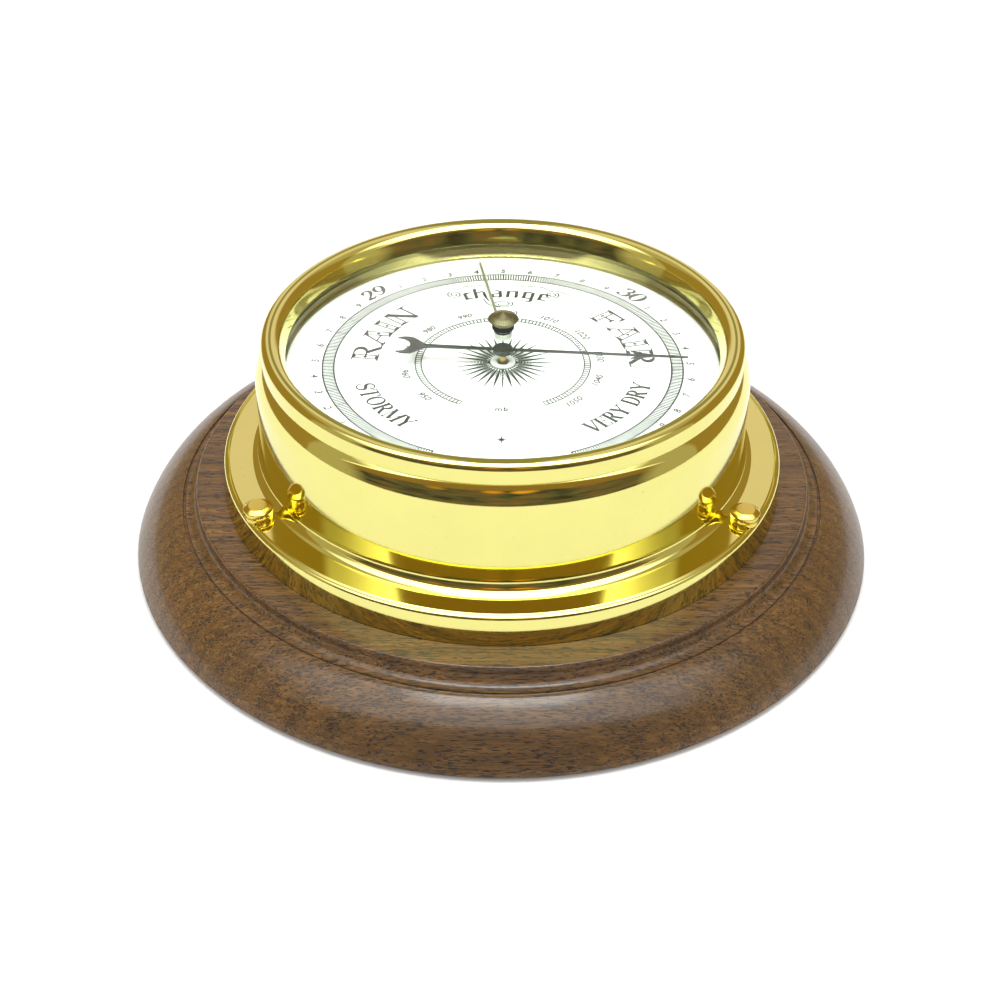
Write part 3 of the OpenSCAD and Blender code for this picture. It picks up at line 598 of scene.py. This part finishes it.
def screw_profile():
    """Outline of a flange screw: a bevelled cap over a collar, on a pointed shank."""
    low, high = bottom("flange_screws"), top("flange_screws")
    flat_z = top("mounting_flange") - FILLET_RISE
    head_r, shank_r, point = 3.9 * MM, 1.75 * MM, 1.5 * MM
    collar_round, cap_round, crown_round = 0.25 * MM, 0.5 * MM, 0.8 * MM
    collar_x, neck_x = head_r - 0.45 * MM, head_r - 0.5 * MM
    profile = [(0, low), (shank_r * 0.6, low), (shank_r, low + point), (shank_r, flat_z)]
    profile += [(head_r - 0.2 * MM, flat_z)]
    profile += arc((collar_x, flat_z + 0.85 * MM), collar_round, 0, 80, 4)
    profile += [(neck_x, flat_z + 1.25 * MM)]
    profile += arc((head_r - collar_round, flat_z + 1.6 * MM), collar_round, -70, 0, 4)
    profile += arc((head_r - cap_round, high - 1.1 * MM), cap_round, 0, 40, 5)
    profile += arc((head_r - 2 * crown_round, high - crown_round), crown_round, 48, 90, 6)
    profile += [(0, high)]
    return profile


def make_screws():
    """The three flange screws as one piece."""
    ring_verts, ring_faces, ring_sharp = lathe_mesh(screw_profile(), SCREW_SEGMENTS, 30)
    verts, faces, sharp = [], [], []
    for angle in SCREW_ANGLES:
        turn = Matrix.Rotation(math.radians(angle), 4, "Z")
        place = turn @ Matrix.Translation((SCREW_CIRCLE_R, 0, 0))
        start = len(verts)
        verts += [tuple(place @ Vector(p)) for p in ring_verts]
        faces += [tuple(start + i for i in face) for face in ring_faces]
        sharp += [(start + a, start + b) for a, b in ring_sharp]
    return new_object("flange_screw_heads", verts, faces, sharp)


BRASS_SKIN = MATERIALS["polished_brass"]
finish_piece(make_flange(), "case", "polished_brass", BRASS_SKIN, "mounting_flange")
finish_piece(make_drum(), "case", "polished_brass", BRASS_SKIN, "brass_case")
finish_piece(make_bezel(), "case", "polished_brass", BRASS_SKIN, "bezel_ring")
finish_piece(make_glass(), "case", "clear_glass", MATERIALS["clear_glass"], "front_glass")
finish_piece(make_reflector(), "case", "dark_brass", MATERIALS["dark_brass"], "dial_ring")
finish_piece(make_screws(), "case", "polished_brass", SCREW_BRASS, "flange_screws")


# Print on the dial. Lengths here are millimetres, angles are degrees clockwise from the top.

PRINT_LOW = top("dial_plate") + 0.005 * MM
PRINT_HIGH = PRINT_LOW + 0.025 * MM
print_verts, print_faces = [], []


def ribbon(points, widths):
    """A flat printed stroke of varying width along points in the dial's plane."""
    count = len(points)
    start = len(print_verts)
    for i, (x, y) in enumerate(points):
        before, after = points[max(i - 1, 0)], points[min(i + 1, count - 1)]
        run = (after[0] - before[0], after[1] - before[1])
        length = math.hypot(*run) or 1
        side = (-run[1] / length * widths[i] / 2, run[0] / length * widths[i] / 2)
        for z in (PRINT_LOW, PRINT_HIGH):
            print_verts.append(((x + side[0]) * MM, (y + side[1]) * MM, z))
            print_verts.append(((x - side[0]) * MM, (y - side[1]) * MM, z))
    for i in range(count - 1):
        a, b = start + 4 * i, start + 4 * i + 4
        print_faces.append((a + 2, a + 3, b + 3, b + 2))
        print_faces.append((a, b, b + 1, a + 1))
        print_faces.append((a, a + 2, b + 2, b))
        print_faces.append((a + 1, b + 1, b + 3, a + 3))
    end = start + 4 * (count - 1)
    print_faces.append((start, start + 1, start + 3, start + 2))
    print_faces.append((end, end + 2, end + 3, end + 1))


def polar(r, angle):
    """Point at a radius and a clockwise angle from the top of the dial."""
    a = math.radians(angle)
    return (r * math.sin(a), r * math.cos(a))


def circle_line(r, first, last, width):
    """Part of a circle round the dial's centre, a piece at least every 1.5 degrees."""
    steps = max(int(abs(last - first) / 1.5), 8)
    points = [polar(r, first + (last - first) * i / steps) for i in range(steps + 1)]
    ribbon(points, [width] * len(points))


def tick(angle, inner, outer, width):
    """A radial line."""
    ribbon([polar(inner, angle), polar(outer, angle)], [width, width])


def spiral_line(cx, cy, r0, r1, start, turns, width, squash):
    """A swirl from radius r0 to r1, thinner where it runs level."""
    steps = int(28 * abs(turns))
    points, widths = [], []
    for i in range(steps + 1):
        t = i / steps
        a = math.radians(start + 360 * turns * t)
        r = r0 + (r1 - r0) * t
        points.append((cx + r * math.cos(a), cy + squash * r * math.sin(a)))
        widths.append(width * (0.55 + 0.45 * abs(math.cos(a))))
    ribbon(points, widths)


def page_place(angle, r, inward):
    """Function from a letter's own x and y to the dial, its top pointing outwards or inwards."""
    turn = math.radians(angle + (180 if inward else 0))
    cos, sin = math.cos(turn), math.sin(turn)
    cx, cy = polar(r, angle)
    return lambda u, v: (cx + u * cos + v * sin, cy - u * sin + v * cos)


def place_letter(strokes, width, angle, r, height, inward=False, slant=0.0, stretch=1.0, weight=1.0):
    """Draws a letter's strokes, given in a box one high, at a place on the dial."""
    place = page_place(angle, r, inward)
    for points, widths in strokes:
        placed = []
        for x, y in points:
            u = ((x - width / 2) * stretch + slant * (y - 0.5)) * height
            placed.append(place(u, (y - 0.5) * height))
        ribbon(placed, [w * weight * height for w in widths])


def line(x0, y0, x1, y1, w, w1=None):
    """A straight stroke, its width going from w to w1."""
    return ([(x0, y0), (x1, y1)], [w, w if w1 is None else w1])


def bow(cx, cy, rx, ry, first, last, thick, thin, steps=20):
    """Part of an ellipse, thick where it runs upright and thin where it runs level."""
    points, widths = [], []
    for i in range(steps + 1):
        a = math.radians(first + (last - first) * i / steps)
        points.append((cx + rx * math.cos(a), cy + ry * math.sin(a)))
        widths.append(thin + (thick - thin) * abs(math.cos(a)) ** 1.5)
    return (points, widths)


BOLD, HAIR = 0.19, 0.085


def foot(x, y, half=0.14):
    """A serif."""
    return line(x - half, y, x + half, y, HAIR)


def stem(x, low=0.0, high=1.0, w=BOLD):
    """An upright stroke."""
    return line(x, low, x, high, w)


def spine(w):
    """The double curve of an S, thick in the middle."""
    points, widths = [], []
    for i in range(33):
        t = i / 32
        if t < 0.5:
            a = math.radians(35 + 235 * t * 2)
            points.append((0.34 + 0.23 * math.cos(a), 0.745 + 0.235 * math.sin(a)))
        else:
            a = math.radians(90 - 235 * (t - 0.5) * 2)
            points.append((0.34 + 0.26 * math.cos(a), 0.255 + 0.245 * math.sin(a)))
        widths.append(HAIR + (w - HAIR) * math.exp(-(((t - 0.5) / 0.22) ** 2)))
    return (points, widths)


# Bold Roman letters: strokes and width of each, in a box one high
ROMAN = {
    "S": ([spine(0.2), line(0.57, 0.86, 0.57, 0.66, HAIR), line(0.08, 0.32, 0.08, 0.12, HAIR)], 0.66),
    "T": ([stem(0.36), foot(0.36, 0.02), line(0.02, 0.97, 0.70, 0.97, 0.07),
           line(0.03, 0.97, 0.03, 0.76, HAIR), line(0.69, 0.97, 0.69, 0.76, HAIR)], 0.72),
    "O": ([bow(0.40, 0.5, 0.32, 0.47, 0, 360, 0.18, HAIR, 40)], 0.80),
    "R": ([stem(0.16), foot(0.16, 0.02), foot(0.14, 0.98), bow(0.34, 0.74, 0.19, 0.23, 90, -90, BOLD, HAIR),
           line(0.16, 0.97, 0.34, 0.97, HAIR), line(0.16, 0.51, 0.34, 0.51, HAIR),
           line(0.36, 0.50, 0.62, 0.02, BOLD), foot(0.66, 0.02, 0.09)], 0.74),
    "M": ([stem(0.12, w=0.06), foot(0.12, 0.02, 0.12), line(0.14, 0.98, 0.46, 0.05, BOLD),
           line(0.80, 0.98, 0.46, 0.05, 0.05), stem(0.80), foot(0.80, 0.02), foot(0.10, 0.98, 0.10),
           foot(0.84, 0.98, 0.10)], 0.92),
    "Y": ([line(0.10, 1.0, 0.38, 0.45, BOLD), line(0.68, 1.0, 0.38, 0.45, HAIR), stem(0.38, 0.0, 0.48),
           foot(0.38, 0.02), foot(0.10, 0.98, 0.13), foot(0.68, 0.98, 0.11)], 0.76),
    "V": ([line(0.10, 1.0, 0.40, 0.0, BOLD), line(0.68, 1.0, 0.40, 0.0, HAIR), foot(0.10, 0.98, 0.13),
           foot(0.68, 0.98, 0.11)], 0.76),
    "E": ([stem(0.16), line(0.02, 0.97, 0.58, 0.97, 0.06), line(0.16, 0.51, 0.46, 0.51, 0.05),
           line(0.02, 0.03, 0.60, 0.03, 0.06), line(0.57, 0.97, 0.57, 0.78, HAIR),
           line(0.46, 0.60, 0.46, 0.42, HAIR), line(0.60, 0.03, 0.60, 0.24, HAIR)], 0.66),
    "D": ([stem(0.16), line(0.02, 0.97, 0.34, 0.97, HAIR), line(0.02, 0.03, 0.34, 0.03, HAIR),
           bow(0.34, 0.5, 0.32, 0.47, 90, -90, 0.18, HAIR)], 0.76),
}


def split_stem(x, lean=0.0):
    """A Tuscan stem: two bars with a white inline, a stud in the middle and wedge feet."""
    strokes = []
    for side in (-0.095, 0.095):
        strokes.append(line(x + side - lean / 2, 0.0, x + side + lean / 2, 1.0, 0.055))
    strokes.append(([(x, 0.41), (x, 0.5), (x, 0.59)], [0.01, 0.15, 0.01]))
    for y, inwards, shift in ((0.0, 1, -lean / 2), (1.0, -1, lean / 2)):
        foot_y = y + 0.025 * inwards
        strokes.append(line(x + shift - 0.2, foot_y, x + shift + 0.2, foot_y, 0.05))
        strokes.append(line(x + shift, y, x + shift, y + 0.15 * inwards, 0.33, 0.10))
    return strokes


# Split Tuscan letters for the two large words
TUSCAN = {
    "R": (split_stem(0.2) + [
        bow(0.42, 0.74, 0.24, 0.235, 90, -90, 0.2, 0.06), line(0.2, 0.97, 0.42, 0.97, 0.06),
        line(0.2, 0.5, 0.42, 0.5, 0.06), line(0.44, 0.5, 0.74, 0.03, 0.17),
        line(0.66, 0.03, 0.9, 0.03, 0.06)], 0.90),
    "A": (split_stem(0.62, lean=-0.22) + [
        line(0.1, 0.03, 0.46, 0.98, 0.07), line(0.0, 0.03, 0.26, 0.03, 0.06),
        line(0.26, 0.36, 0.6, 0.36, 0.06), line(0.1, 0.0, 0.16, 0.14, 0.2, 0.07)], 0.86),
    "I": (split_stem(0.25), 0.50),
    "N": (split_stem(0.18)[:2] + [
        line(0.05, 0.97, 0.3, 0.97, 0.06), line(0.02, 0.03, 0.36, 0.03, 0.06),
        line(0.16, 0.98, 0.74, 0.05, 0.2), line(0.76, 0.0, 0.76, 1.0, 0.08),
        line(0.60, 0.97, 0.92, 0.97, 0.06), line(0.76, 1.0, 0.76, 0.86, 0.24, 0.08),
        line(0.18, 0.0, 0.18, 0.14, 0.24, 0.08)], 0.94),
    "F": (split_stem(0.2) + [
        line(0.2, 0.95, 0.74, 0.95, 0.09), line(0.3, 0.52, 0.56, 0.52, 0.08),
        line(0.72, 0.98, 0.72, 0.72, 0.16, 0.05), line(0.56, 0.64, 0.56, 0.40, 0.10)], 0.78),
}

# Black letter: upright quills with slanted joins, x-height from 0 to 1
QUILL, JOIN = 0.21, 0.10


def quill(x, low=0.08, high=0.92):
    """An upright stroke with pointed ends."""
    return ([(x - 0.07, low - 0.08), (x, low + 0.04), (x, high - 0.04), (x + 0.07, high + 0.08)],
            [0.02, QUILL, QUILL, 0.02])


BLACK = {
    "c": ([quill(0.18), line(0.18, 0.84, 0.5, 0.98, QUILL, 0.05),
           line(0.18, 0.14, 0.52, 0.08, QUILL, 0.05)], 0.52),
    "h": ([quill(0.16, 0.08, 1.35), line(0.2, 0.78, 0.55, 0.98, JOIN),
           ([(0.58, 0.92), (0.6, 0.5), (0.62, 0.05), (0.72, -0.5)], [0.12, QUILL, 0.14, 0.05])], 0.78),
    "a": ([quill(0.18, 0.08, 0.5), quill(0.58), line(0.14, 0.92, 0.52, 0.98, 0.05, 0.14),
           line(0.18, 0.5, 0.56, 0.62, JOIN), line(0.2, 0.12, 0.55, 0.1, 0.12)], 0.78),
    "n": ([quill(0.16), quill(0.58), line(0.2, 0.78, 0.52, 0.98, JOIN)], 0.78),
    "g": ([quill(0.18), quill(0.58, -0.3, 0.92), line(0.2, 0.9, 0.5, 0.98, 0.12),
           line(0.2, 0.14, 0.56, 0.1, 0.12), line(0.1, -0.34, 0.56, -0.28, 0.05, 0.16)], 0.78),
    "e": ([quill(0.18), line(0.18, 0.88, 0.52, 0.95, 0.16, 0.1), line(0.5, 0.95, 0.52, 0.6, 0.14, 0.04),
           line(0.22, 0.48, 0.52, 0.62, 0.05), line(0.18, 0.14, 0.56, 0.12, QUILL, 0.05)], 0.56),
}

# Slanting Roman figures for the whole inches
FIGURES = {
    "0": ([bow(0.32, 0.5, 0.25, 0.47, 0, 360, 0.2, 0.05, 40)], 0.64),
    "1": ([stem(0.25, w=0.19), foot(0.25, 0.02), line(0.06, 0.82, 0.25, 0.98, 0.05, 0.09)], 0.42),
    "2": ([([(0.07, 0.74), (0.12, 0.76)], [0.14, 0.16]), bow(0.30, 0.72, 0.21, 0.25, 175, -20, 0.18, 0.06),
           ([(0.50, 0.64), (0.42, 0.46), (0.20, 0.18), (0.07, 0.06)], [0.17, 0.13, 0.07, 0.05]),
           ([(0.07, 0.08), (0.25, 0.10), (0.42, 0.05), (0.58, 0.16)], [0.10, 0.16, 0.13, 0.04])], 0.62),
    "3": ([([(0.08, 0.78), (0.13, 0.80)], [0.13, 0.15]), bow(0.29, 0.76, 0.19, 0.21, 165, -90, 0.17, 0.05),
           bow(0.28, 0.29, 0.25, 0.26, 90, -165, 0.19, 0.05),
           ([(0.05, 0.2), (0.11, 0.2)], [0.14, 0.15])], 0.60),
    "8": ([bow(0.31, 0.75, 0.18, 0.21, 0, 360, 0.15, 0.05, 32),
           bow(0.30, 0.28, 0.24, 0.26, 0, 360, 0.18, 0.06, 32)], 0.62),
    "9": ([bow(0.30, 0.68, 0.22, 0.29, 0, 360, 0.17, 0.05, 32),
           ([(0.52, 0.68), (0.50, 0.40), (0.36, 0.14), (0.12, 0.04)], [0.17, 0.16, 0.10, 0.05]),
           ([(0.08, 0.12), (0.14, 0.12)], [0.12, 0.13])], 0.62),
}


def figure_mesh(text):
    """Outline of a small figure in Blender's own font, as vertices and faces one high."""
    curve = bpy.data.curves.new("figure", "FONT")
    curve.body = text
    curve.size = 1.38
    curve.resolution_u = 3
    curve.align_x = "CENTER"
    curve.extrude = 0.5
    curve.offset = 0.034
    obj = bpy.data.objects.new("figure", curve)
    bpy.context.scene.collection.objects.link(obj)
    graph = bpy.context.evaluated_depsgraph_get()
    mesh = bpy.data.meshes.new_from_object(obj.evaluated_get(graph))
    result = ([tuple(v.co) for v in mesh.vertices], [tuple(p.vertices) for p in mesh.polygons])
    bpy.data.objects.remove(obj)
    return result


figure_shapes = {}


def place_figure(text, place):
    """Adds a small figure to the print, place(x, y) giving where each of its points goes."""
    if text not in figure_shapes:
        figure_shapes[text] = figure_mesh(text)
    verts, faces = figure_shapes[text]
    start = len(print_verts)
    for x, y, z in verts:
        px, py = place(x, y)
        print_verts.append((px * MM, py * MM, PRINT_HIGH if z > 0 else PRINT_LOW))
    print_faces.extend(tuple(start + i for i in face) for face in faces)


def round_figure(text, angle, r, height, slant, inward):
    """A small slanting figure, its top pointing outwards or inwards."""
    place = page_place(angle, r, inward)
    place_figure(text, lambda x, y: place((x + slant * (y - 0.5)) * height, (y - 0.5) * height))


def word(letters, table, first, last, r, height, inward=False, slant=0.0, weight=1.0):
    """Letters spread by their widths between two angles, stretched to fill the arc."""
    widths = [0.35 if c == " " else table[c][1] for c in letters]
    total = sum(widths)
    stretch = 0.97 * math.radians(abs(last - first)) * r / (total * height)
    done = 0
    for c, w in zip(letters, widths):
        angle = first + (last - first) * (done + w / 2) / total
        done += w
        if c != " ":
            place_letter(table[c][0], w, angle, r, height, inward, slant, stretch, weight)


def inch_scale():
    """Band with a line at each hundredth of an inch, and figures at the tenths."""
    inner, outer, end, hundredth = 44.6, 47.6, 157.8, 0.9
    for r in (inner, outer):
        circle_line(r, -end, end, 0.42)
    count = int(end / hundredth)
    for i in range(-count, count + 1):
        if i % 10 == 0:
            tick(i * hundredth, inner, outer + 0.35, 0.44)
        else:
            tick(i * hundredth, inner, outer, 0.36)
    for side in (-1, 1):
        tick(side * end, inner, outer, 0.3)
    for tenth in range(-17, 18):
        digit = (5 + tenth) % 10
        angle = tenth * 10 * hundredth
        if digit:
            round_figure(str(digit), angle, 49.7, 2.1, 0.15, abs(angle) > 90)


def whole_inches():
    """The four pairs of large figures on the inch scale."""
    spread = 2.3
    for angle, pair in ((-135, "28"), (-45, "29"), (45, "30"), (135, "31")):
        inward = abs(angle) > 90
        shifts = (spread, -spread) if inward else (-spread, spread)
        for figure, shift in zip(pair, shifts):
            strokes, width = FIGURES[figure]
            place_letter(strokes, width, angle + shift, 51.5, 5.0, inward, 0.2, 1.25, 1.3)


def millibar_scale():
    """The inner scale: 28 inches of mercury are 948.2 mb, and three inches are 101.6 mb."""
    inner, outer, end = 21.6, 23.2, 151.4
    spread = 3.1
    for r in (inner, outer):
        circle_line(r, -end, end, 0.34)

    def angle_of(mb):
        return (mb - 948.2) * 270 / 101.6 - 135

    for mb in range(942, 1057):
        if abs(angle_of(mb)) <= end:
            tick(angle_of(mb), inner, outer, 0.36)
    for side in (-1, 1):
        tick(side * end, inner, outer, 0.26)
    for mb in range(950, 1051, 10):
        text, centre = str(mb), angle_of(mb)
        inward = abs(centre) > 90
        step = -spread if inward else spread
        for i, digit in enumerate(text):
            turned_to = centre + (i - (len(text) - 1) / 2) * step
            round_figure(digit, turned_to, 26.1, 2.0, 0.2, inward)
    height = 1.8
    for i, letter in enumerate("mb"):
        left = -1.0 + 1.8 * i
        place_figure(letter, lambda x, y: (left + x * height, -22.6 + (y - 0.4) * height))


def sunburst():
    """Thirty-two slender rays round a ring, with fine lines between and four banded main rays."""
    rays = 32
    circle_line(3.45, -180, 180, 0.22)
    for i in range(rays):
        angle = i * 360 / rays
        main = i % 8 == 0
        outer = 13.0 if i % 2 == 0 else 12.3
        widths = [1.0, 0.24, 0.20, 0.44, 0.12] if main else [0.30, 0.55, 0.80, 0.56, 0.16]
        ribbon([polar(r, angle) for r in (3.5, 5.0, 7.0, 9.6, outer)], widths)
        if main:
            for r, half in ((5.0, 4.6), (5.8, 3.8), (6.6, 3.1), (7.4, 2.5), (8.2, 2.0)):
                ribbon([polar(r, angle - half), polar(r, angle + half)], [0.42, 0.42])
        between = angle + 180 / rays
        ribbon([polar(4.3, between), polar(5.6, between), polar(8.0, between - 0.8)], [0.22, 0.26, 0.05])


def stroke(widths, *places):
    """A curved stroke through (radius, angle) places."""
    ribbon([polar(r, angle) for r, angle in places], widths)


def change_word():
    """The middle word in black letter, with swirls at both ends and a loop below."""
    word("change", BLACK, -18.5, 20.0, 36.4, 4.0, weight=1.1)
    for side in (-1, 1):
        x, y = polar(38.4, side * 20.9)
        spiral_line(x, y, 0.35, 2.1, 90, side * 1.9, 0.42, 0.95)
        places = [(r, side * a) for r, a in ((40.5, 20.5), (41.9, 15), (41.6, 9), (40.4, 4))]
        stroke([0.16, 0.30, 0.26, 0.12], *places)
    stroke([0.1, 0.3, 0.3, 0.1], (39.8, 18), (41.2, 21.5), (40.9, 25), (40.0, 28.5))
    stroke([0.1, 0.26, 0.22, 0.1], (40.2, -18), (41.5, -20.5), (41.6, -22.5), (41.0, -24.5))
    spiral_line(-0.2, 30.9, 1.3, 3.0, 180, 1.6, 0.42, 0.62)
    stroke([0.3, 0.34, 0.3, 0.3], (34.2, -9.4), (31.5, -8.4), (29.7, -5.6), (29.0, -1.5))


def ornament():
    """A plain eight-pointed star in the space at the foot of the dial."""
    cx, cy, points = -0.2, -36.2, 8
    for i in range(points):
        reach = 1.9 if i % 2 == 0 else 1.2
        a = math.radians(i * 360 / points)
        ribbon([(cx, cy), (cx + reach * math.cos(a), cy + reach * math.sin(a))], [0.5, 0.06])


def make_print():
    """All the print, as one piece."""
    inch_scale()
    whole_inches()
    millibar_scale()
    sunburst()
    change_word()
    ornament()
    word("RAIN", TUSCAN, -89.5, -42.6, 36.6, 7.2)
    word("FAIR", TUSCAN, 45.0, 92.3, 36.9, 7.2)
    word("STORMY", ROMAN, -106.8, -142.8, 37.6, 4.8, inward=True, slant=0.12)
    word("VERY DRY", ROMAN, 145.8, 105.0, 37.6, 4.8, inward=True)
    return new_object("dial_print", print_verts, print_faces, smooth=False)


finish_piece(make_print(), "case", "dial_white", INK)


# Setting: floor, lights and camera

CAMERA_AT = (-0.45 * MM, -374.5 * MM, 284.2 * MM)
CAMERA_DOWN = 36.44  # degrees below level
CAMERA_ROLL = 0.47
CAMERA_LENS = 59.42
FLOOR_R = 0.54
FLOOR_SIDES = 96


def make_floor():
    """A round pale floor under the mount."""
    turns = [2 * math.pi * i / FLOOR_SIDES for i in range(FLOOR_SIDES)]
    verts = [(FLOOR_R * math.cos(a), FLOOR_R * math.sin(a), 0) for a in turns]
    floor = new_object("floor", verts, [tuple(range(FLOOR_SIDES))], smooth=False)
    s = Shader("floor").set(Roughness=0.9, Emission_strength=0.10)
    s.principled.inputs["Emission Color"].default_value = (1, 1, 1, 1)
    cloud = s.noise(s.coords, 6, 2, 0.5)
    s.feed("Base Color", s.ramp(cloud, (0.3, (0.70, 0.70, 0.70)), (0.7, (0.72, 0.72, 0.72))))
    floor.data.materials.append(s.material)


TENT = (0.52, 0.45, 0.28)
BACK_MIDDLE, BACK_EDGE, BACK_LOW = (0.34, 0.30, 0.16), (0.88, 0.75, 0.68), (0.38, 0.25, 0.07)
CEILING = (0.31, 0.185, 0.055)
PANEL, LAMP = (3.4, 3.4, 3.35), (15.0, 15.0, 14.6)
SOFT = (0.76, 0.76, 0.76)

# Small lights in the room: azimuth and elevation as seen from the case, size in degrees, colour
ROOM_LIGHTS = (
    (-4, 34, 1.4, (0.95, 0.38, 0.03)),
    (9, 33, 1.7, (1.10, 0.50, 0.05)),
    (12, 35, 1.2, (0.9, 0.4, 0.04)),
    (-30, 30, 1.6, (0.55, 0.28, 0.05)),
    (32, 36, 2.0, (0.5, 0.26, 0.04)),
    (2, 20, 3.0, (0.06, 0.10, 0.07)),
)


class WorldMaths(Shader):
    """The same helper on the world's node tree, with the angles that the setting is laid out in."""

    def __init__(self):
        world = bpy.data.worlds.new("studio")
        bpy.context.scene.world = world
        world.use_nodes = True
        self.tree = world.node_tree
        self.tree.nodes.clear()
        self.output = self.tree.nodes.new("ShaderNodeOutputWorld")
        self.coords = self.tree.nodes.new("ShaderNodeTexCoord").outputs["Generated"]
        split = self.tree.nodes.new("ShaderNodeSeparateXYZ")
        self.link(self.coords, split.inputs[0])
        x, y, self.height = split.outputs
        self.side = self.math("ABSOLUTE", x)
        # Angle over the top, from the front horizon (0) to the back horizon (1)
        turn = self.math("ARCTAN2", self.height, self.math("MULTIPLY", y, -1))
        self.over = self.math("ABSOLUTE", self.math("DIVIDE", turn, math.pi))

    def step(self, value, first, last, a, b):
        """Goes from a to b while the value goes from first to last."""
        return self.mix(self.ramp(value, (first, 0.0), (last, 1.0)), a, b)

    def spot(self, azimuth, elevation, size):
        """Mask of a round spot in the room, 1 inside."""
        a, e = math.radians(azimuth), math.radians(elevation)
        dot = self.tree.nodes.new("ShaderNodeVectorMath")
        dot.operation = "DOT_PRODUCT"
        self.link(self.coords, dot.inputs[0])
        dot.inputs[1].default_value = (math.sin(a) * math.cos(e), -math.cos(a) * math.cos(e), math.sin(e))
        edge, blur = math.cos(math.radians(size)), 0.0012
        return self.ramp(dot.outputs["Value"], (edge - blur, 0.0), (edge, 1.0))


def back_half(w):
    """The tent behind the case, darker in the middle and golden low at the sides."""
    middle = w.step(w.side, 0.06, 0.12, BACK_MIDDLE, BACK_EDGE)
    outside = w.step(w.height, 0.64, 0.72, BACK_LOW, TENT)
    return w.step(w.side, 0.30, 0.42, middle, outside)


def room(w):
    """The dim room behind the camera, golden towards its ceiling."""
    blotch = w.noise(w.stretched((3.5, 3.5, 9.0)), 1.0, 3, 0.6)
    colour = w.ramp(blotch, (0.36, (0.055, 0.045, 0.035)), (0.46, (0.110, 0.115, 0.095)),
                    (0.54, (0.180, 0.118, 0.078)), (0.68, (0.235, 0.160, 0.095)))
    for azimuth, elevation, size, light in ROOM_LIGHTS:
        colour = w.mix(w.spot(azimuth, elevation, size), colour, light)
    return w.step(w.over, 0.200, 0.215, colour, CEILING)


def front_half(w):
    """The room, the wide white panel over it and the lamp in the panel's middle overhead."""
    narrow = w.ramp(w.side, (0.20, 1.0), (0.26, 0.0))
    overhead = w.ramp(w.over, (0.42, 0.0), (0.44, 1.0))
    panel = w.mix(w.math("MULTIPLY", narrow, overhead), PANEL, LAMP)
    low = w.step(w.over, 0.290, 0.305, room(w), panel)
    low = w.step(w.side, 0.84, 0.92, low, TENT)
    high = w.step(w.side, 0.55, 0.80, panel, TENT)
    return w.step(w.over, 0.300, 0.310, low, high)


def make_world():
    """A white tent with a bright panel above the front, and a dim brown room behind the camera."""
    w = WorldMaths()
    shaped = w.step(w.over, 0.500, 0.540, front_half(w), back_half(w))
    # Matt things are lit by a softer mixture, and the camera itself sees plain white
    rays = w.tree.nodes.new("ShaderNodeLightPath")
    lit = w.mix(rays.outputs["Is Diffuse Ray"], shaped, w.mix(0.10, SOFT, shaped))
    seen = w.mix(rays.outputs["Is Camera Ray"], lit, (1.0, 1.0, 1.0))
    background = w.tree.nodes.new("ShaderNodeBackground")
    w.link(seen, background.inputs["Color"])
    w.link(background.outputs[0], w.output.inputs["Surface"])


def make_camera():
    """The camera at the photograph's angle."""
    camera = bpy.data.cameras.new("camera")
    camera.lens = CAMERA_LENS
    camera.sensor_width = 36
    camera.clip_start = 0.01
    obj = bpy.data.objects.new("camera", camera)
    bpy.context.scene.collection.objects.link(obj)
    tilt = Matrix.Rotation(math.radians(90 - CAMERA_DOWN), 4, "X")
    roll = Matrix.Rotation(math.radians(CAMERA_ROLL), 4, "Z")
    obj.matrix_world = Matrix.Translation(CAMERA_AT) @ tilt @ roll
    bpy.context.scene.camera = obj


make_floor()
make_world()
make_camera()
bpy.context.scene.view_settings.view_transform = "Standard"
